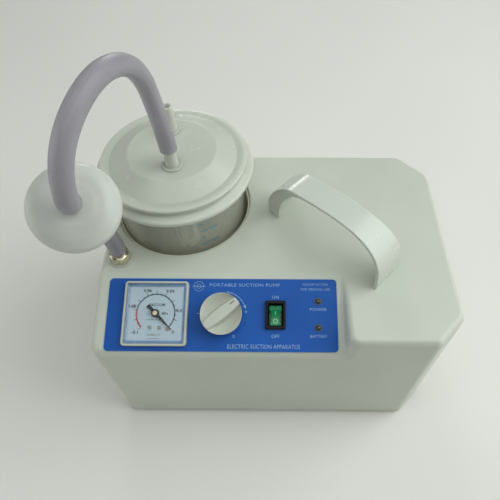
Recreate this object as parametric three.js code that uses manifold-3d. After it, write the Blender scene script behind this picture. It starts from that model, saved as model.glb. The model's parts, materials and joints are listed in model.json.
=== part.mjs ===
// Portable electric suction pump: a moulded housing with a jar well, a sloped control panel and a carry
// handle, a one litre collection jar with an overflow float, and a bacteria filter on silicone hoses.
// Units are millimetres, +Z is up, +X is to the operator's right, and the control panel faces -Y.
import * as THREE from 'three';
import { mergeVertices } from 'three/addons/utils/BufferGeometryUtils.js';
import Module from 'manifold-3d';

const wasm = await Module();
wasm.setup();

// ---------------------------------------------------------------- driving dimensions
const GAP = 0.3;                     // clearance between pieces that touch
const WIDTH = 273;                   // housing, left to right
const DEPTH = 187;                   // housing, front to back
const HEIGHT = 147;                  // housing without its feet
const WALL = 3;
const FOOT_HEIGHT = 4;
const CHAMFER_BACK = 24;             // plan chamfers at the two right-hand corners
const CHAMFER_FRONT = 21.5;
const CORNER_RADIUS = 8;             // plan radius of the two left-hand corners
const EDGE_BEVEL = 5;                // rounding of the top edge
const BASE_THICKNESS = 3.5;

const PANEL_FOLD_Y = -36.8;          // where the top face turns down into the control panel
const PANEL_DROP = 21.3;             // height lost from the fold to the front face
const STEP_X = 50.8;                 // left wall of the raised block beside the panel

const WELL_X = -77.8;                // jar well
const WELL_Y = 35.7;
const WELL_HOLE_R = 55.4;
const WELL_WALL = 1.2;
const WELL_FLOOR_Z = 42;

const JAR_X = -79;                   // collection jar and its lid
const JAR_Y = 36.4;
const JAR_R = 52.2;
const JAR_BOTTOM_R = 50.6;
const JAR_WALL = 2.2;
const LID_Z = 191.8;                 // underside of the lid flange
const LID_R = 62;
const LID_TOP = 19.1;                // lid disc above the flange underside
const FRONT_NOZZLE = { x: -76.6, y: 19.6, height: 31, baseR: 4.8, tipR: 3.3, collarR: 7.8, boreR: 1.8 };
const REAR_NOZZLE = { x: -82, y: 57.6, height: 23.5, baseR: 4.9, tipR: 3.6, collarR: 6.6, boreR: 2.5 };

const OVERLAY = { left: -125.9, right: 45.6, top: 3.8, bottom: 57.6, thickness: 0.5, corner: 3 };
const GAUGE = { x: -89, s: 30.4, side: 47.4, proud: 5.4, canR: 20, canDepth: 26 };
const KNOB = { x: -39.7, s: 31.4, r: 15.1, height: 12.6, lift: 1.2, gripAngle: 39 };
const SWITCH = { x: -0.4, s: 30.9, width: 15.1, length: 21.1, proud: 2.2, bodyDepth: 14 };
const LED_X = 31.3;
const LED_S = [20.7, 40.3];          // mains lamp, battery lamp
const LED_R = 2.4;

const HANDLE = { footX: 2.7, footY: 18.7, directionDeg: -44, width: 23, screwR: 1.6 };

const FITTING = { x: -120.6, y: -23, hexAcross: 14, barbR: 4.2 };
const HOSE_R = 6;
const HOSE_SOCKET_R = 5;            // hose bore where it is stretched over a nozzle
const FILTER = {
  centre: [-114.9, -58, 253.7], axis: [0.241, -0.496, 0.834], r: 26, half: 11, nozzleR: 4,
};

const TOP_Z = FOOT_HEIGHT + HEIGHT;
const HALF_W = WIDTH / 2;
const HALF_D = DEPTH / 2;
const BASE_TOP_Z = FOOT_HEIGHT + BASE_THICKNESS;
const PANEL_ANGLE = Math.atan2(PANEL_DROP, PANEL_FOLD_Y + HALF_D);
const deg = Math.PI / 180;

// ---------------------------------------------------------------- materials
function plastic(color, roughness = 0.5, metalness = 0) {
  return new THREE.MeshStandardMaterial({ color, roughness, metalness });
}
const IVORY = plastic(0xdcdccb, 0.42);
const BASE_IVORY = plastic(0xcfcfbe, 0.5);
const WHITE = plastic(0xe9ece6, 0.28);
const WELL_TAN = plastic(0xb7ae92, 0.55);
const BLUE = plastic(0x1f56ad, 0.45);
const BLACK = plastic(0x16171a, 0.45);
const RUBBER = plastic(0x26272a, 0.8);
const GREEN = plastic(0x0d8a4a, 0.3);
const LAMP = plastic(0x4b4f45, 0.3);
const DIAL = plastic(0xdfe8ee, 0.6);
const NEEDLE = plastic(0x121212, 0.5);
const NICKEL = plastic(0xb9b39a, 0.28, 0.9);
const BRASS = plastic(0xc0a060, 0.35, 0.9);
const STEEL = plastic(0xa9adb0, 0.35, 0.9);
const ALUMINIUM = plastic(0xb4b8bb, 0.45, 0.8);
const BOARD = plastic(0x1f6a3c, 0.6);
const BATTERY = plastic(0x3a3d42, 0.6);
const FILTER_WHITE = plastic(0xe4e8e2, 0.45);
const MEMBRANE = plastic(0xf4f4f0, 0.9);
const CLEAR = new THREE.MeshStandardMaterial({
  color: 0xe8f0ee, roughness: 0.08, transparent: true, opacity: 0.35,
});
const HOSE = new THREE.MeshStandardMaterial({
  color: 0xa9a4b4, roughness: 0.3, transparent: true, opacity: 0.7,
});

// ---------------------------------------------------------------- geometry helpers
const object = new THREE.Group();

function add(name, geometry, material, parent = object) {
  const mesh = new THREE.Mesh(geometry, material);
  mesh.name = name;
  parent.add(mesh);
  return mesh;
}

function box(x0, x1, y0, y1, z0, z1) {
  const geometry = new THREE.BoxGeometry(x1 - x0, y1 - y0, z1 - z0);
  return geometry.translate((x0 + x1) / 2, (y0 + y1) / 2, (z0 + z1) / 2);
}

function cylinder(r, z0, z1, x = 0, y = 0, segments = 24, topR = r) {
  const geometry = new THREE.CylinderGeometry(topR, r, z1 - z0, segments);
  return geometry.rotateX(Math.PI / 2).translate(x, y, (z0 + z1) / 2);
}

// Profile of [radius, z] pairs turned about the Z axis.
function lathe(profile, segments = 40, x = 0, y = 0) {
  const points = profile.map(([r, z]) => new THREE.Vector2(r, z));
  return new THREE.LatheGeometry(points, segments).rotateX(Math.PI / 2).translate(x, y, 0);
}

// Outline of [x, y] points, or a Shape, raised from z0 to z1, with an optional bevel inside that height.
function prism(outline, z0, z1, bevel = 0, bevelSegments = 1) {
  const shape = outline instanceof THREE.Shape
    ? outline
    : new THREE.Shape(outline.map(([x, y]) => new THREE.Vector2(x, y)));
  const geometry = new THREE.ExtrudeGeometry(shape, {
    depth: z1 - z0 - 2 * bevel,
    bevelEnabled: bevel > 0,
    bevelThickness: bevel,
    bevelSize: bevel,
    bevelOffset: -bevel,
    bevelSegments,
    curveSegments: 5,
  });
  return geometry.translate(0, 0, z0 + bevel);
}

function roundedRectangle(x0, x1, y0, y1, r) {
  const shape = new THREE.Shape();
  shape.moveTo(x0 + r, y0);
  shape.lineTo(x1 - r, y0);
  shape.absarc(x1 - r, y0 + r, r, -Math.PI / 2, 0);
  shape.lineTo(x1, y1 - r);
  shape.absarc(x1 - r, y1 - r, r, 0, Math.PI / 2);
  shape.lineTo(x0 + r, y1);
  shape.absarc(x0 + r, y1 - r, r, Math.PI / 2, Math.PI);
  shape.lineTo(x0, y0 + r);
  shape.absarc(x0 + r, y0 + r, r, Math.PI, 1.5 * Math.PI);
  return shape;
}

// Rod of radius r along points, with a straight or spline path.
function rod(points, r, sides = 10, steps = 24, tension = 'centripetal') {
  const section = new THREE.Shape();
  for (let i = 0; i < sides; i += 1) {
    const angle = (2 * Math.PI * i) / sides;
    const x = r * Math.cos(angle);
    const y = r * Math.sin(angle);
    if (i === 0) section.moveTo(x, y);
    else section.lineTo(x, y);
  }
  section.closePath();
  const path = new THREE.CatmullRomCurve3(points.map((p) => new THREE.Vector3(...p)), false, tension);
  return new THREE.ExtrudeGeometry(section, { steps, bevelEnabled: false, extrudePath: path });
}

// Closed solid through equal rings of [x, y, z] points, capped flat at both ends.
function loft(rings) {
  const n = rings[0].length;
  const positions = rings.flat(2);
  const index = [];
  for (let k = 0; k + 1 < rings.length; k += 1) {
    for (let i = 0; i < n; i += 1) {
      const a = k * n + i;
      const b = k * n + ((i + 1) % n);
      index.push(a, b, b + n, a, b + n, a + n);
    }
  }
  const last = (rings.length - 1) * n;
  for (let i = 1; i + 1 < n; i += 1) {
    index.push(0, i + 1, i);
    index.push(last, last + i, last + i + 1);
  }
  const geometry = new THREE.BufferGeometry();
  geometry.setAttribute('position', new THREE.Float32BufferAttribute(positions, 3));
  geometry.setIndex(index);
  return geometry;
}

function toSolid(geometry) {
  const bare = geometry.clone();
  bare.deleteAttribute('normal');
  bare.deleteAttribute('uv');
  const merged = mergeVertices(bare, 1e-4);
  const index = merged.index.array;
  const triangles = [];
  for (let i = 0; i < index.length; i += 3) {
    const [a, b, c] = [index[i], index[i + 1], index[i + 2]];
    if (a !== b && b !== c && c !== a) triangles.push(a, b, c);
  }
  return new wasm.Manifold(new wasm.Mesh({
    numProp: 3,
    vertProperties: new Float32Array(merged.attributes.position.array),
    triVerts: new Uint32Array(triangles),
  }));
}

function toGeometry(solid) {
  const mesh = solid.getMesh();
  const geometry = new THREE.BufferGeometry();
  geometry.setAttribute('position', new THREE.BufferAttribute(new Float32Array(mesh.vertProperties), 3));
  geometry.setIndex(new THREE.BufferAttribute(new Uint32Array(mesh.triVerts), 1));
  return geometry;
}

function cut(geometry, ...tools) {
  return toGeometry(tools.reduce((solid, tool) => solid.subtract(toSolid(tool)), toSolid(geometry)));
}

function join(geometry, ...others) {
  return toGeometry(others.reduce((solid, other) => solid.add(toSolid(other)), toSolid(geometry)));
}

// ---------------------------------------------------------------- local frames
// Panel frame: x along the panel, -y down the slope from the fold, z out of the panel.
const panel = new THREE.Group();
panel.position.set(0, PANEL_FOLD_Y, TOP_Z);
panel.rotation.x = PANEL_ANGLE;
object.add(panel);
panel.updateMatrix();

function onPanel(geometry) {
  return geometry.clone().applyMatrix4(panel.matrix);
}

// ---------------------------------------------------------------- housing
function housingOutline(inset) {
  const left = -HALF_W + inset;
  const right = HALF_W - inset;
  const front = -HALF_D + inset;
  const back = HALF_D - inset;
  const slant = inset * (Math.SQRT2 - 2);
  const chamferFront = CHAMFER_FRONT + slant;
  const chamferBack = CHAMFER_BACK + slant;
  const r = Math.max(CORNER_RADIUS - inset, 1);
  const shape = new THREE.Shape();
  shape.moveTo(left + r, front);
  shape.lineTo(right - chamferFront, front);
  shape.lineTo(right, front + chamferFront);
  shape.lineTo(right, back - chamferBack);
  shape.lineTo(right - chamferBack, back);
  shape.lineTo(left + r, back);
  shape.absarc(left + r, back - r, r, Math.PI / 2, Math.PI);
  shape.lineTo(left, front + r);
  shape.absarc(left + r, front + r, r, Math.PI, 1.5 * Math.PI);
  return shape;
}

// Wedge above the sloped panel, offset by inset into the housing, ending at the raised block.
function slopeCutter(inset) {
  const far = 40;
  const y0 = PANEL_FOLD_Y - inset * Math.tan(PANEL_ANGLE / 2);
  const z0 = TOP_Z - inset;
  const reach = HALF_D + y0 + far;
  const side = [
    [y0, z0],
    [y0, z0 + far],
    [y0 - reach, z0 + far],
    [y0 - reach, z0 - reach * Math.tan(PANEL_ANGLE)],
  ];
  const length = STEP_X + inset + HALF_W + far;
  const geometry = prism(side, 0, length);
  geometry.rotateY(Math.PI / 2).rotateX(Math.PI / 2);
  return geometry.translate(-HALF_W - far, 0, 0);
}

function panelHoles() {
  const deep = 12;
  const y = (s) => -s;
  const half = GAP;
  return [
    cylinder(GAUGE.canR + 2 * half, -deep, deep, GAUGE.x, y(GAUGE.s), 28),
    cylinder(4.4, -deep, deep, KNOB.x, y(KNOB.s), 24),
    box(
      SWITCH.x - 6.6 - half, SWITCH.x + 6.6 + half,
      y(SWITCH.s) - 9.6 - half, y(SWITCH.s) + 9.6 + half, -deep, deep,
    ),
    ...LED_S.map((s) => cylinder(LED_R + half, -deep, deep, LED_X, y(s), 20)),
  ];
}

// Each post is [x, y, drop of the roof above it].
const SCREW_POSTS = [[-124, -80, 17.6], [112, -78, 0], [118, 72, 0], [-12, 84, 0]];
const POST_R = 4;
const HANDLE_DIR = [Math.cos(HANDLE.directionDeg * deg), Math.sin(HANDLE.directionDeg * deg)];
const HANDLE_SIDE = [-HANDLE_DIR[1], HANDLE_DIR[0]];

// Point on the top face at distance u along the handle and w across it.
function handlePoint(u, w) {
  return [
    HANDLE.footX + HANDLE_DIR[0] * u + HANDLE_SIDE[0] * w,
    HANDLE.footY + HANDLE_DIR[1] * u + HANDLE_SIDE[1] * w,
  ];
}
const HANDLE_SCREWS = [handlePoint(-5.5, 11), handlePoint(96.7, 13)];

const INLET = { x: 60, z: 60, halfWidth: 13.8, halfHeight: 10 };
const FUSE = { x: 98, z: 60, r: 6.2 };

function housingShell() {
  const bottom = BASE_TOP_Z + GAP;
  const outer = prism(housingOutline(0), bottom - 2 * EDGE_BEVEL, TOP_Z, EDGE_BEVEL, 2);
  const trimBottom = box(-HALF_W - 9, HALF_W + 9, -HALF_D - 9, HALF_D + 9, bottom - 40, bottom);
  const cavity = cut(
    prism(housingOutline(WALL), bottom - 20, TOP_Z - WALL),
    slopeCutter(WALL + 0.01),
  );
  const posts = SCREW_POSTS.map(([x, y, drop]) => cylinder(POST_R, bottom, TOP_Z - 1 - drop, x, y, 12));
  const screwBores = SCREW_POSTS.map(([x, y]) => cylinder(1.9, bottom - 1, bottom + 12, x, y, 10));
  const shell = toSolid(outer)
    .subtract(toSolid(slopeCutter(0)))
    .subtract(toSolid(trimBottom))
    .subtract(toSolid(cavity));
  const withPosts = posts.reduce((solid, post) => solid.add(toSolid(post)), shell);
  const holes = [
    cylinder(WELL_HOLE_R, WELL_FLOOR_Z - 3, TOP_Z + 12, WELL_X, WELL_Y, 40),
    cylinder(4.6, TOP_Z - 12, TOP_Z + 12, FITTING.x, FITTING.y, 20),
    ...HANDLE_SCREWS.map(([x, y]) => cylinder(HANDLE.screwR + GAP, TOP_Z - 12, TOP_Z + 12, x, y, 12)),
    ...panelHoles().map(onPanel),
    box(INLET.x - INLET.halfWidth - GAP, INLET.x + INLET.halfWidth + GAP, HALF_D - 9, HALF_D + 9,
      INLET.z - INLET.halfHeight - GAP, INLET.z + INLET.halfHeight + GAP),
    cylinder(FUSE.r + GAP, -12, 12, 0, 0, 24).rotateX(Math.PI / 2).translate(FUSE.x, HALF_D, FUSE.z),
    ...screwBores,
    ...ventSlots(),
  ];
  return toGeometry(holes.reduce((solid, hole) => solid.subtract(toSolid(hole)), withPosts));
}

// Cooling slots through the back wall behind the motor.
function ventSlots() {
  const slots = [];
  for (let row = 0; row < 5; row += 1) {
    const z = 86 + row * 7;
    slots.push(box(48, 98, HALF_D - 9, HALF_D + 9, z, z + 3));
  }
  return slots;
}

const FOOT_PLACES = [[-112, -68], [104, -68], [104, 66], [-112, 66]];
const FOOT_R = 8;
const STEM_R = 3;

function basePlate() {
  const plate = prism(housingOutline(0), FOOT_HEIGHT, BASE_TOP_Z);
  const holes = [
    ...FOOT_PLACES.map(([x, y]) => cylinder(STEM_R + GAP, 0, 12, x, y, 12)),
    ...SCREW_POSTS.map(([x, y]) => cylinder(1.9, 0, 12, x, y, 10)),
    ...SCREW_POSTS.map(([x, y]) => cylinder(3.9, 0, FOOT_HEIGHT + 1.6, x, y, 12)),
  ];
  return cut(plate, ...holes);
}

add('housing_shell', housingShell(), IVORY);
add('base_plate', basePlate(), BASE_IVORY);

FOOT_PLACES.forEach(([x, y], i) => {
  const foot = lathe([
    [0, 0], [FOOT_R - 0.8, 0], [FOOT_R, 0.8], [FOOT_R - 0.5, FOOT_HEIGHT - GAP],
    [STEM_R, FOOT_HEIGHT - GAP], [STEM_R, BASE_TOP_Z + 3], [0, BASE_TOP_Z + 3],
  ], 14, x, y);
  add(`rubber_foot_${i + 1}`, foot, RUBBER);
});

SCREW_POSTS.forEach(([x, y], i) => {
  const head = FOOT_HEIGHT + 1.6 - GAP;
  const screw = lathe([
    [0, head - 1.2], [3.4, head - 1.2], [3.4, head], [1.5, head], [1.5, head + 12], [0, head + 12],
  ], 10, x, y);
  add(`base_screw_${i + 1}`, screw, STEEL);
});

// Cup that hangs in the round hole of the top face and carries the jar.
function jarWell() {
  const outer = WELL_HOLE_R - GAP;
  const inner = outer - WELL_WALL;
  const top = TOP_Z - 2;
  return lathe([
    [0, WELL_FLOOR_Z - 2], [outer, WELL_FLOOR_Z - 2], [outer, top], [inner, top], [inner, WELL_FLOOR_Z],
    [0, WELL_FLOOR_Z],
  ], 40, WELL_X, WELL_Y);
}
add('jar_well', jarWell(), WELL_TAN);

// Ring pedestal that carries the floor of the jar well on the base plate.
function wellSupport() {
  const top = WELL_FLOOR_Z - 2 - GAP;
  return lathe([
    [24, BASE_TOP_Z + GAP], [26, BASE_TOP_Z + GAP], [26, top], [24, top], [24, BASE_TOP_Z + GAP],
  ], 32, WELL_X, WELL_Y);
}
add('well_support', wellSupport(), BASE_IVORY);

// ---------------------------------------------------------------- carry handle
// Each station is [u, height] on a line of the strap, from the left foot to the right.
function handleStrap() {
  const outer = new THREE.CatmullRomCurve3([
    [-11, 0], [-12.6, 9], [-11, 18], [-6, 28], [2, 36.5], [9, 40.4], [22, 42.6], [38, 44.4], [55, 45.2],
    [70, 43.8], [82, 39.6], [91, 32.4], [96.6, 22], [98.6, 10], [99, 0],
  ].map(([u, h]) => new THREE.Vector3(u, h, 0)), false, 'centripetal');
  const inner = new THREE.CatmullRomCurve3([
    [0, 0], [0.2, 9], [1.4, 17], [4.5, 24.5], [9, 31], [14.5, 36.4], [24, 39.4], [39, 41.4], [55, 42.3],
    [69, 40.9], [79.8, 37.2], [88, 30.4], [92.8, 21], [94.3, 10], [94.4, 0],
  ].map(([u, h]) => new THREE.Vector3(u, h, 0)), false, 'centripetal');
  const stations = 24;
  const rings = [];
  for (let k = 0; k <= stations; k += 1) {
    const a = outer.getPoint(k / stations);
    const b = inner.getPoint(k / stations);
    const flare = Math.max(0, (a.x - 62) / 40) ** 2 * 6;
    const w0 = -0.8 * Math.max(0, 1 - k / 9);
    const w1 = HANDLE.width + flare;
    const edge = 1;
    const ring = [
      [mix(a, b, 0.3), w0], [mix(a, b, 0.75), w0], [b, w0 + edge], [b, w1 - edge],
      [mix(a, b, 0.75), w1], [mix(a, b, 0.3), w1], [a, w1 - edge], [a, w0 + edge],
    ];
    rings.push(ring.map(([p, w]) => {
      const [x, y] = handlePoint(p.x, w);
      return [x, y, TOP_Z + GAP + p.y];
    }));
  }
  return loft(rings);
}

function mix(a, b, t) {
  return new THREE.Vector3().lerpVectors(a, b, t);
}

function carryHandle() {
  const r = HANDLE.screwR + GAP;
  const bores = HANDLE_SCREWS.map(([x, y]) => cylinder(r, TOP_Z - 2, TOP_Z + 8, x, y, 12));
  return cut(handleStrap(), ...bores);
}
add('carry_handle', carryHandle(), WHITE);

HANDLE_SCREWS.forEach(([x, y], i) => {
  const head = TOP_Z - WALL - GAP;
  const screw = lathe([
    [0, head - 2], [3.6, head - 2], [3.6, head], [HANDLE.screwR, head],
    [HANDLE.screwR, TOP_Z + 7], [0, TOP_Z + 7],
  ], 10, x, y);
  add(`handle_screw_${i + 1}`, screw, STEEL);
});

// ---------------------------------------------------------------- control panel
const OVERLAY_Z = GAP;
const OVERLAY_TOP = OVERLAY_Z + OVERLAY.thickness;

function panelOverlay() {
  const { left, right, top, bottom, corner } = OVERLAY;
  const sheet = prism(roundedRectangle(left, right, -bottom, -top, corner), OVERLAY_Z, OVERLAY_TOP);
  return cut(sheet, ...panelHoles());
}
add('panel_overlay', panelOverlay(), BLUE, panel);

// Vacuum gauge.
const gauge = new THREE.Group();
gauge.position.set(GAUGE.x, -GAUGE.s, 0);
panel.add(gauge);
const FLANGE_Z = OVERLAY_TOP + GAP;
const FLANGE_TOP = FLANGE_Z + 1;
const DIAL_Z = FLANGE_TOP + GAP;
const DIAL_TOP = DIAL_Z + 0.5;
const BEZEL_TOP = GAUGE.proud;
const WINDOW_HALF = GAUGE.side / 2 - 3.6;
const HALF_GAUGE = GAUGE.side / 2;

function gaugeCase() {
  const r = GAUGE.canR;
  const floor = -GAUGE.canDepth;
  const can = lathe([
    [0, floor - 10], [4.5, floor - 10], [4.5, floor - 0.01], [r, floor], [r, FLANGE_Z + 0.2],
    [r - 1.4, FLANGE_Z + 0.2], [r - 1.4, floor + 1.4], [0, floor + 1.4],
  ], 28);
  const half = HALF_GAUGE - 1;
  const flange = prism(roundedRectangle(-half, half, -half, half, 2), FLANGE_Z, FLANGE_TOP);
  const bore = cylinder(r - 1.4, FLANGE_Z - 1, FLANGE_TOP + 1, 0, 0, 28);
  const inlet = cylinder(1.4, floor - 12, floor + 2, 0, 0, 12);
  return cut(join(can, cut(flange, bore)), inlet);
}
add('gauge_case', gaugeCase(), BLACK, gauge);

function gaugeBezel() {
  const half = HALF_GAUGE;
  const ring = prism(roundedRectangle(-half, half, -half, half, 2.4), DIAL_Z, BEZEL_TOP, 0.6);
  const opening = WINDOW_HALF + GAP;
  return cut(ring, box(-opening, opening, -opening, opening, -2, 12));
}
add('gauge_bezel', gaugeBezel(), IVORY, gauge);

function gaugeDial() {
  const plate = box(-WINDOW_HALF, WINDOW_HALF, -WINDOW_HALF, WINDOW_HALF, DIAL_Z, DIAL_TOP);
  return cut(plate, cylinder(1.6, -2, 12, 0, 0, 12));
}
add('gauge_dial', gaugeDial(), DIAL, gauge);

// Clear cover with sloping sides, open underneath.
function gaugeWindow() {
  const low = DIAL_TOP + GAP;
  const high = BEZEL_TOP + 2;
  const square = (half, z) => [[-half, -half, z], [half, -half, z], [half, half, z], [-half, half, z]];
  const outer = loft([
    square(WINDOW_HALF, low), square(WINDOW_HALF, low + 2.6), square(WINDOW_HALF - 3, high),
  ]);
  const inner = loft([
    square(WINDOW_HALF - 1.2, low - 1), square(WINDOW_HALF - 1.2, low + 2.2),
    square(WINDOW_HALF - 4, high - 1.1),
  ]);
  return cut(outer, inner);
}
add('gauge_window', gaugeWindow(), CLEAR, gauge);

const NEEDLE_Z = DIAL_TOP + 1;
const NEEDLE_REST = -44;             // pointer direction at zero vacuum, from the dial's +X

function gaugeNeedle() {
  const side = [[-7.4, 1.2], [-6.6, 1.7], [2, 1.1], [16.4, 0.25]];
  const otherSide = side.map(([x, y]) => [x, -y]).reverse();
  const blade = prism([...otherSide.reverse(), ...side.reverse()], NEEDLE_Z, NEEDLE_Z + 0.7);
  const hub = cylinder(2.6, NEEDLE_Z - 0.3, NEEDLE_Z + 1.5, 0, 0, 20);
  const shaft = cylinder(0.9, -6, NEEDLE_Z, 0, 0, 12);
  return join(blade, hub, shaft).rotateZ(NEEDLE_REST * deg);
}
add('gauge_needle', gaugeNeedle(), NEEDLE, gauge);

// Curved pressure tube and its back plate, inside the sealed case.
function gaugeMovement() {
  const turn = 250 * deg;
  const r = 13.5;
  const points = [];
  for (let i = 0; i <= 10; i += 1) {
    const angle = -Math.PI / 2 + (turn * i) / 10;
    points.push([r * Math.cos(angle), r * Math.sin(angle), -15]);
  }
  return join(rod(points, 2, 6, 14), box(-4, 4, -15, 6, -19, -14));
}
add('gauge_movement', gaugeMovement(), BRASS, gauge);

// Vacuum regulator knob with its valve.
const regulator = new THREE.Group();
regulator.position.set(KNOB.x, -KNOB.s, 0);
panel.add(regulator);

function regulatorKnob() {
  const low = OVERLAY_TOP + KNOB.lift;
  const high = low + KNOB.height;
  const r = KNOB.r;
  const body = lathe([
    [0, low + 3], [r - 1.6, low + 3], [r - 1.6, low], [r - 0.4, low], [r, low + 0.6],
    [r - 0.3, high - 0.8], [r - 1, high], [0, high],
  ], 32);
  // Two dished finger recesses leave a lens-shaped grip across the middle.
  const scoopR = 26;
  const scoopDepth = 7.4;
  const scoops = [1, -1].map((side) => {
    const floor = high - scoopDepth;
    const disc = lathe([[0, floor], [scoopR - 5, floor], [scoopR, high + 1], [0, high + 1]], 32);
    return toSolid(disc.translate(0, side * (scoopR + 4.2), 0)).intersect(
      toSolid(cylinder(r - 1.3, high - scoopDepth - 1, high + 2, 0, 0, 32)),
    );
  });
  const hub = cylinder(5, low - 0.6, low + 4, 0, 0, 20);
  const bore = cylinder(3 + GAP, low - 2, high - 4, 0, 0, 20);
  const pointer = box(9, 13, -0.5, 0.5, high - 0.6, high + 1);
  const dished = toSolid(body).subtract(scoops[0]).subtract(scoops[1]).add(toSolid(hub));
  const solid = dished.subtract(toSolid(bore)).subtract(toSolid(pointer));
  return toGeometry(solid).rotateZ(KNOB.gripAngle * deg);
}
add('regulator_knob', regulatorKnob(), IVORY, regulator);
const SPINDLE_TOP = OVERLAY_TOP + KNOB.lift + KNOB.height - 4 - GAP;
add('regulator_spindle', cylinder(3, -12, SPINDLE_TOP, 0, 0, 20), BRASS, regulator);

function regulatorValve() {
  const bush = cylinder(4.1, -16, 0.6, 0, 0, 24);
  const body = cylinder(9, -30, -4.5, 0, 0, 28);
  const side = cylinder(3.6, 0, 17, 0, 0, 16).rotateY(Math.PI / 2).translate(0, 0, -22);
  const bore = cylinder(3.1, -13, 2, 0, 0, 24);
  return cut(join(body, bush, side), bore);
}
add('regulator_valve', regulatorValve(), ALUMINIUM, regulator);

// Rocker switch.
const rocker = new THREE.Group();
rocker.position.set(SWITCH.x, -SWITCH.s, 0);
panel.add(rocker);
const SWITCH_LOW = OVERLAY_TOP + GAP;
const ROCKER_PIVOT_Z = -0.6;
const ROCKER_HALF_WIDTH = 4.7;
const ROCKER_TILT = 12;              // degrees off level at each end of its travel

function switchFrame() {
  const halfW = SWITCH.width / 2;
  const halfL = SWITCH.length / 2;
  const outline = roundedRectangle(-halfW, halfW, -halfL, halfL, 1.2);
  const bezel = prism(outline, SWITCH_LOW, SWITCH_LOW + SWITCH.proud, 0.5);
  const body = box(-6.4, 6.4, -9.4, 9.4, -SWITCH.bodyDepth, SWITCH_LOW + 0.6);
  const pocket = box(-5.1, 5.1, -8.1, 8.1, -9, 12);
  return cut(join(bezel, body), pocket);
}
add('switch_frame', switchFrame(), BLACK, rocker);

// Side outline of the rocker in its (length, height) plane, level; it tips about the pivot.
function switchRocker() {
  const outline = [
    [-7.4, 3.2], [-6.9, 3.8], [-2, 2.6], [2, 2.6], [6.9, 3.8], [7.4, 3.2],
    [6.2, -1.6], [1.2, -4.6], [-1.2, -4.6], [-6.2, -1.6],
  ];
  const profile = prism(outline, -ROCKER_HALF_WIDTH, ROCKER_HALF_WIDTH);
  profile.rotateX(Math.PI / 2).rotateZ(Math.PI / 2);
  return profile.rotateX(ROCKER_TILT * deg).translate(0, 0, ROCKER_PIVOT_Z);
}
add('switch_rocker', switchRocker(), GREEN, rocker);

['power_lamp', 'battery_lamp'].forEach((name, i) => {
  const lamp = lathe([
    [0, -8], [LED_R, -8], [LED_R, OVERLAY_TOP + 0.4], [LED_R * 0.85, OVERLAY_TOP + 1.3],
    [LED_R * 0.45, OVERLAY_TOP + 1.9], [0, OVERLAY_TOP + 2.1],
  ], 20, LED_X, -LED_S[i]);
  add(name, lamp, LAMP, panel);
});

// ---------------------------------------------------------------- suction inlet on the top face
const inlet = new THREE.Group();
inlet.position.set(FITTING.x, FITTING.y, TOP_Z);
object.add(inlet);
const WASHER_TOP = GAP + 0.9;
const HEX_TOP = WASHER_TOP + GAP + 7;
const BARB_TOP = HEX_TOP + 20;

function inletFitting() {
  const hexR = FITTING.hexAcross / Math.sqrt(3);
  const hex = cylinder(hexR, WASHER_TOP + GAP, HEX_TOP, 0, 0, 6);
  const r = FITTING.barbR;
  const stem = lathe([
    [0, -16], [4.2, -16], [4.2, WASHER_TOP + GAP + 1], [5.6, HEX_TOP - 0.5], [5.6, HEX_TOP + 1],
    [r - 0.6, HEX_TOP + 1.6], [r, HEX_TOP + 5], [r - 0.8, HEX_TOP + 9.8], [r, HEX_TOP + 10],
    [r - 0.8, HEX_TOP + 15], [r - 0.2, HEX_TOP + 15.2], [r - 1.2, BARB_TOP], [0, BARB_TOP],
  ], 24);
  return cut(join(hex, stem), cylinder(2.2, -20, BARB_TOP + 3, 0, 0, 16));
}
add('inlet_fitting', inletFitting(), NICKEL, inlet);
const stemClearance = () => cylinder(4.2 + GAP, -12, 4, 0, 0, 24);
add('inlet_washer', cut(cylinder(9.2, GAP, WASHER_TOP, 0, 0, 28), stemClearance()), WHITE, inlet);
add('inlet_nut', cut(cylinder(8, -WALL - GAP - 4, -WALL - GAP, 0, 0, 6), stemClearance()), BRASS, inlet);

// ---------------------------------------------------------------- collection jar and lid
const jar = new THREE.Group();
jar.position.set(JAR_X, JAR_Y, 0);
object.add(jar);
const JAR_Z = WELL_FLOOR_Z + GAP;
const JAR_TOP = LID_Z + 6.2;

function collectionJar() {
  const r = JAR_R;
  const b = JAR_BOTTOM_R;
  const t = JAR_WALL;
  return lathe([
    [0, JAR_Z], [b - 3, JAR_Z], [b, JAR_Z + 3], [r, LID_Z - 18], [r, JAR_TOP],
    [r - t, JAR_TOP], [r - t, LID_Z - 18], [b - t, JAR_Z + 5], [b - 5, JAR_Z + 3], [0, JAR_Z + 3],
  ], 32);
}
add('collection_jar', collectionJar(), CLEAR, jar);

function nozzle(spec) {
  const base = LID_Z + LID_TOP;
  return lathe([
    [0, base - 1.8], [spec.collarR, base - 1.8], [spec.collarR, base + 1.2], [spec.baseR, base + 1.4],
    [spec.tipR, base + spec.height], [0, base + spec.height],
  ], 20, spec.x - JAR_X, spec.y - JAR_Y);
}

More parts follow.
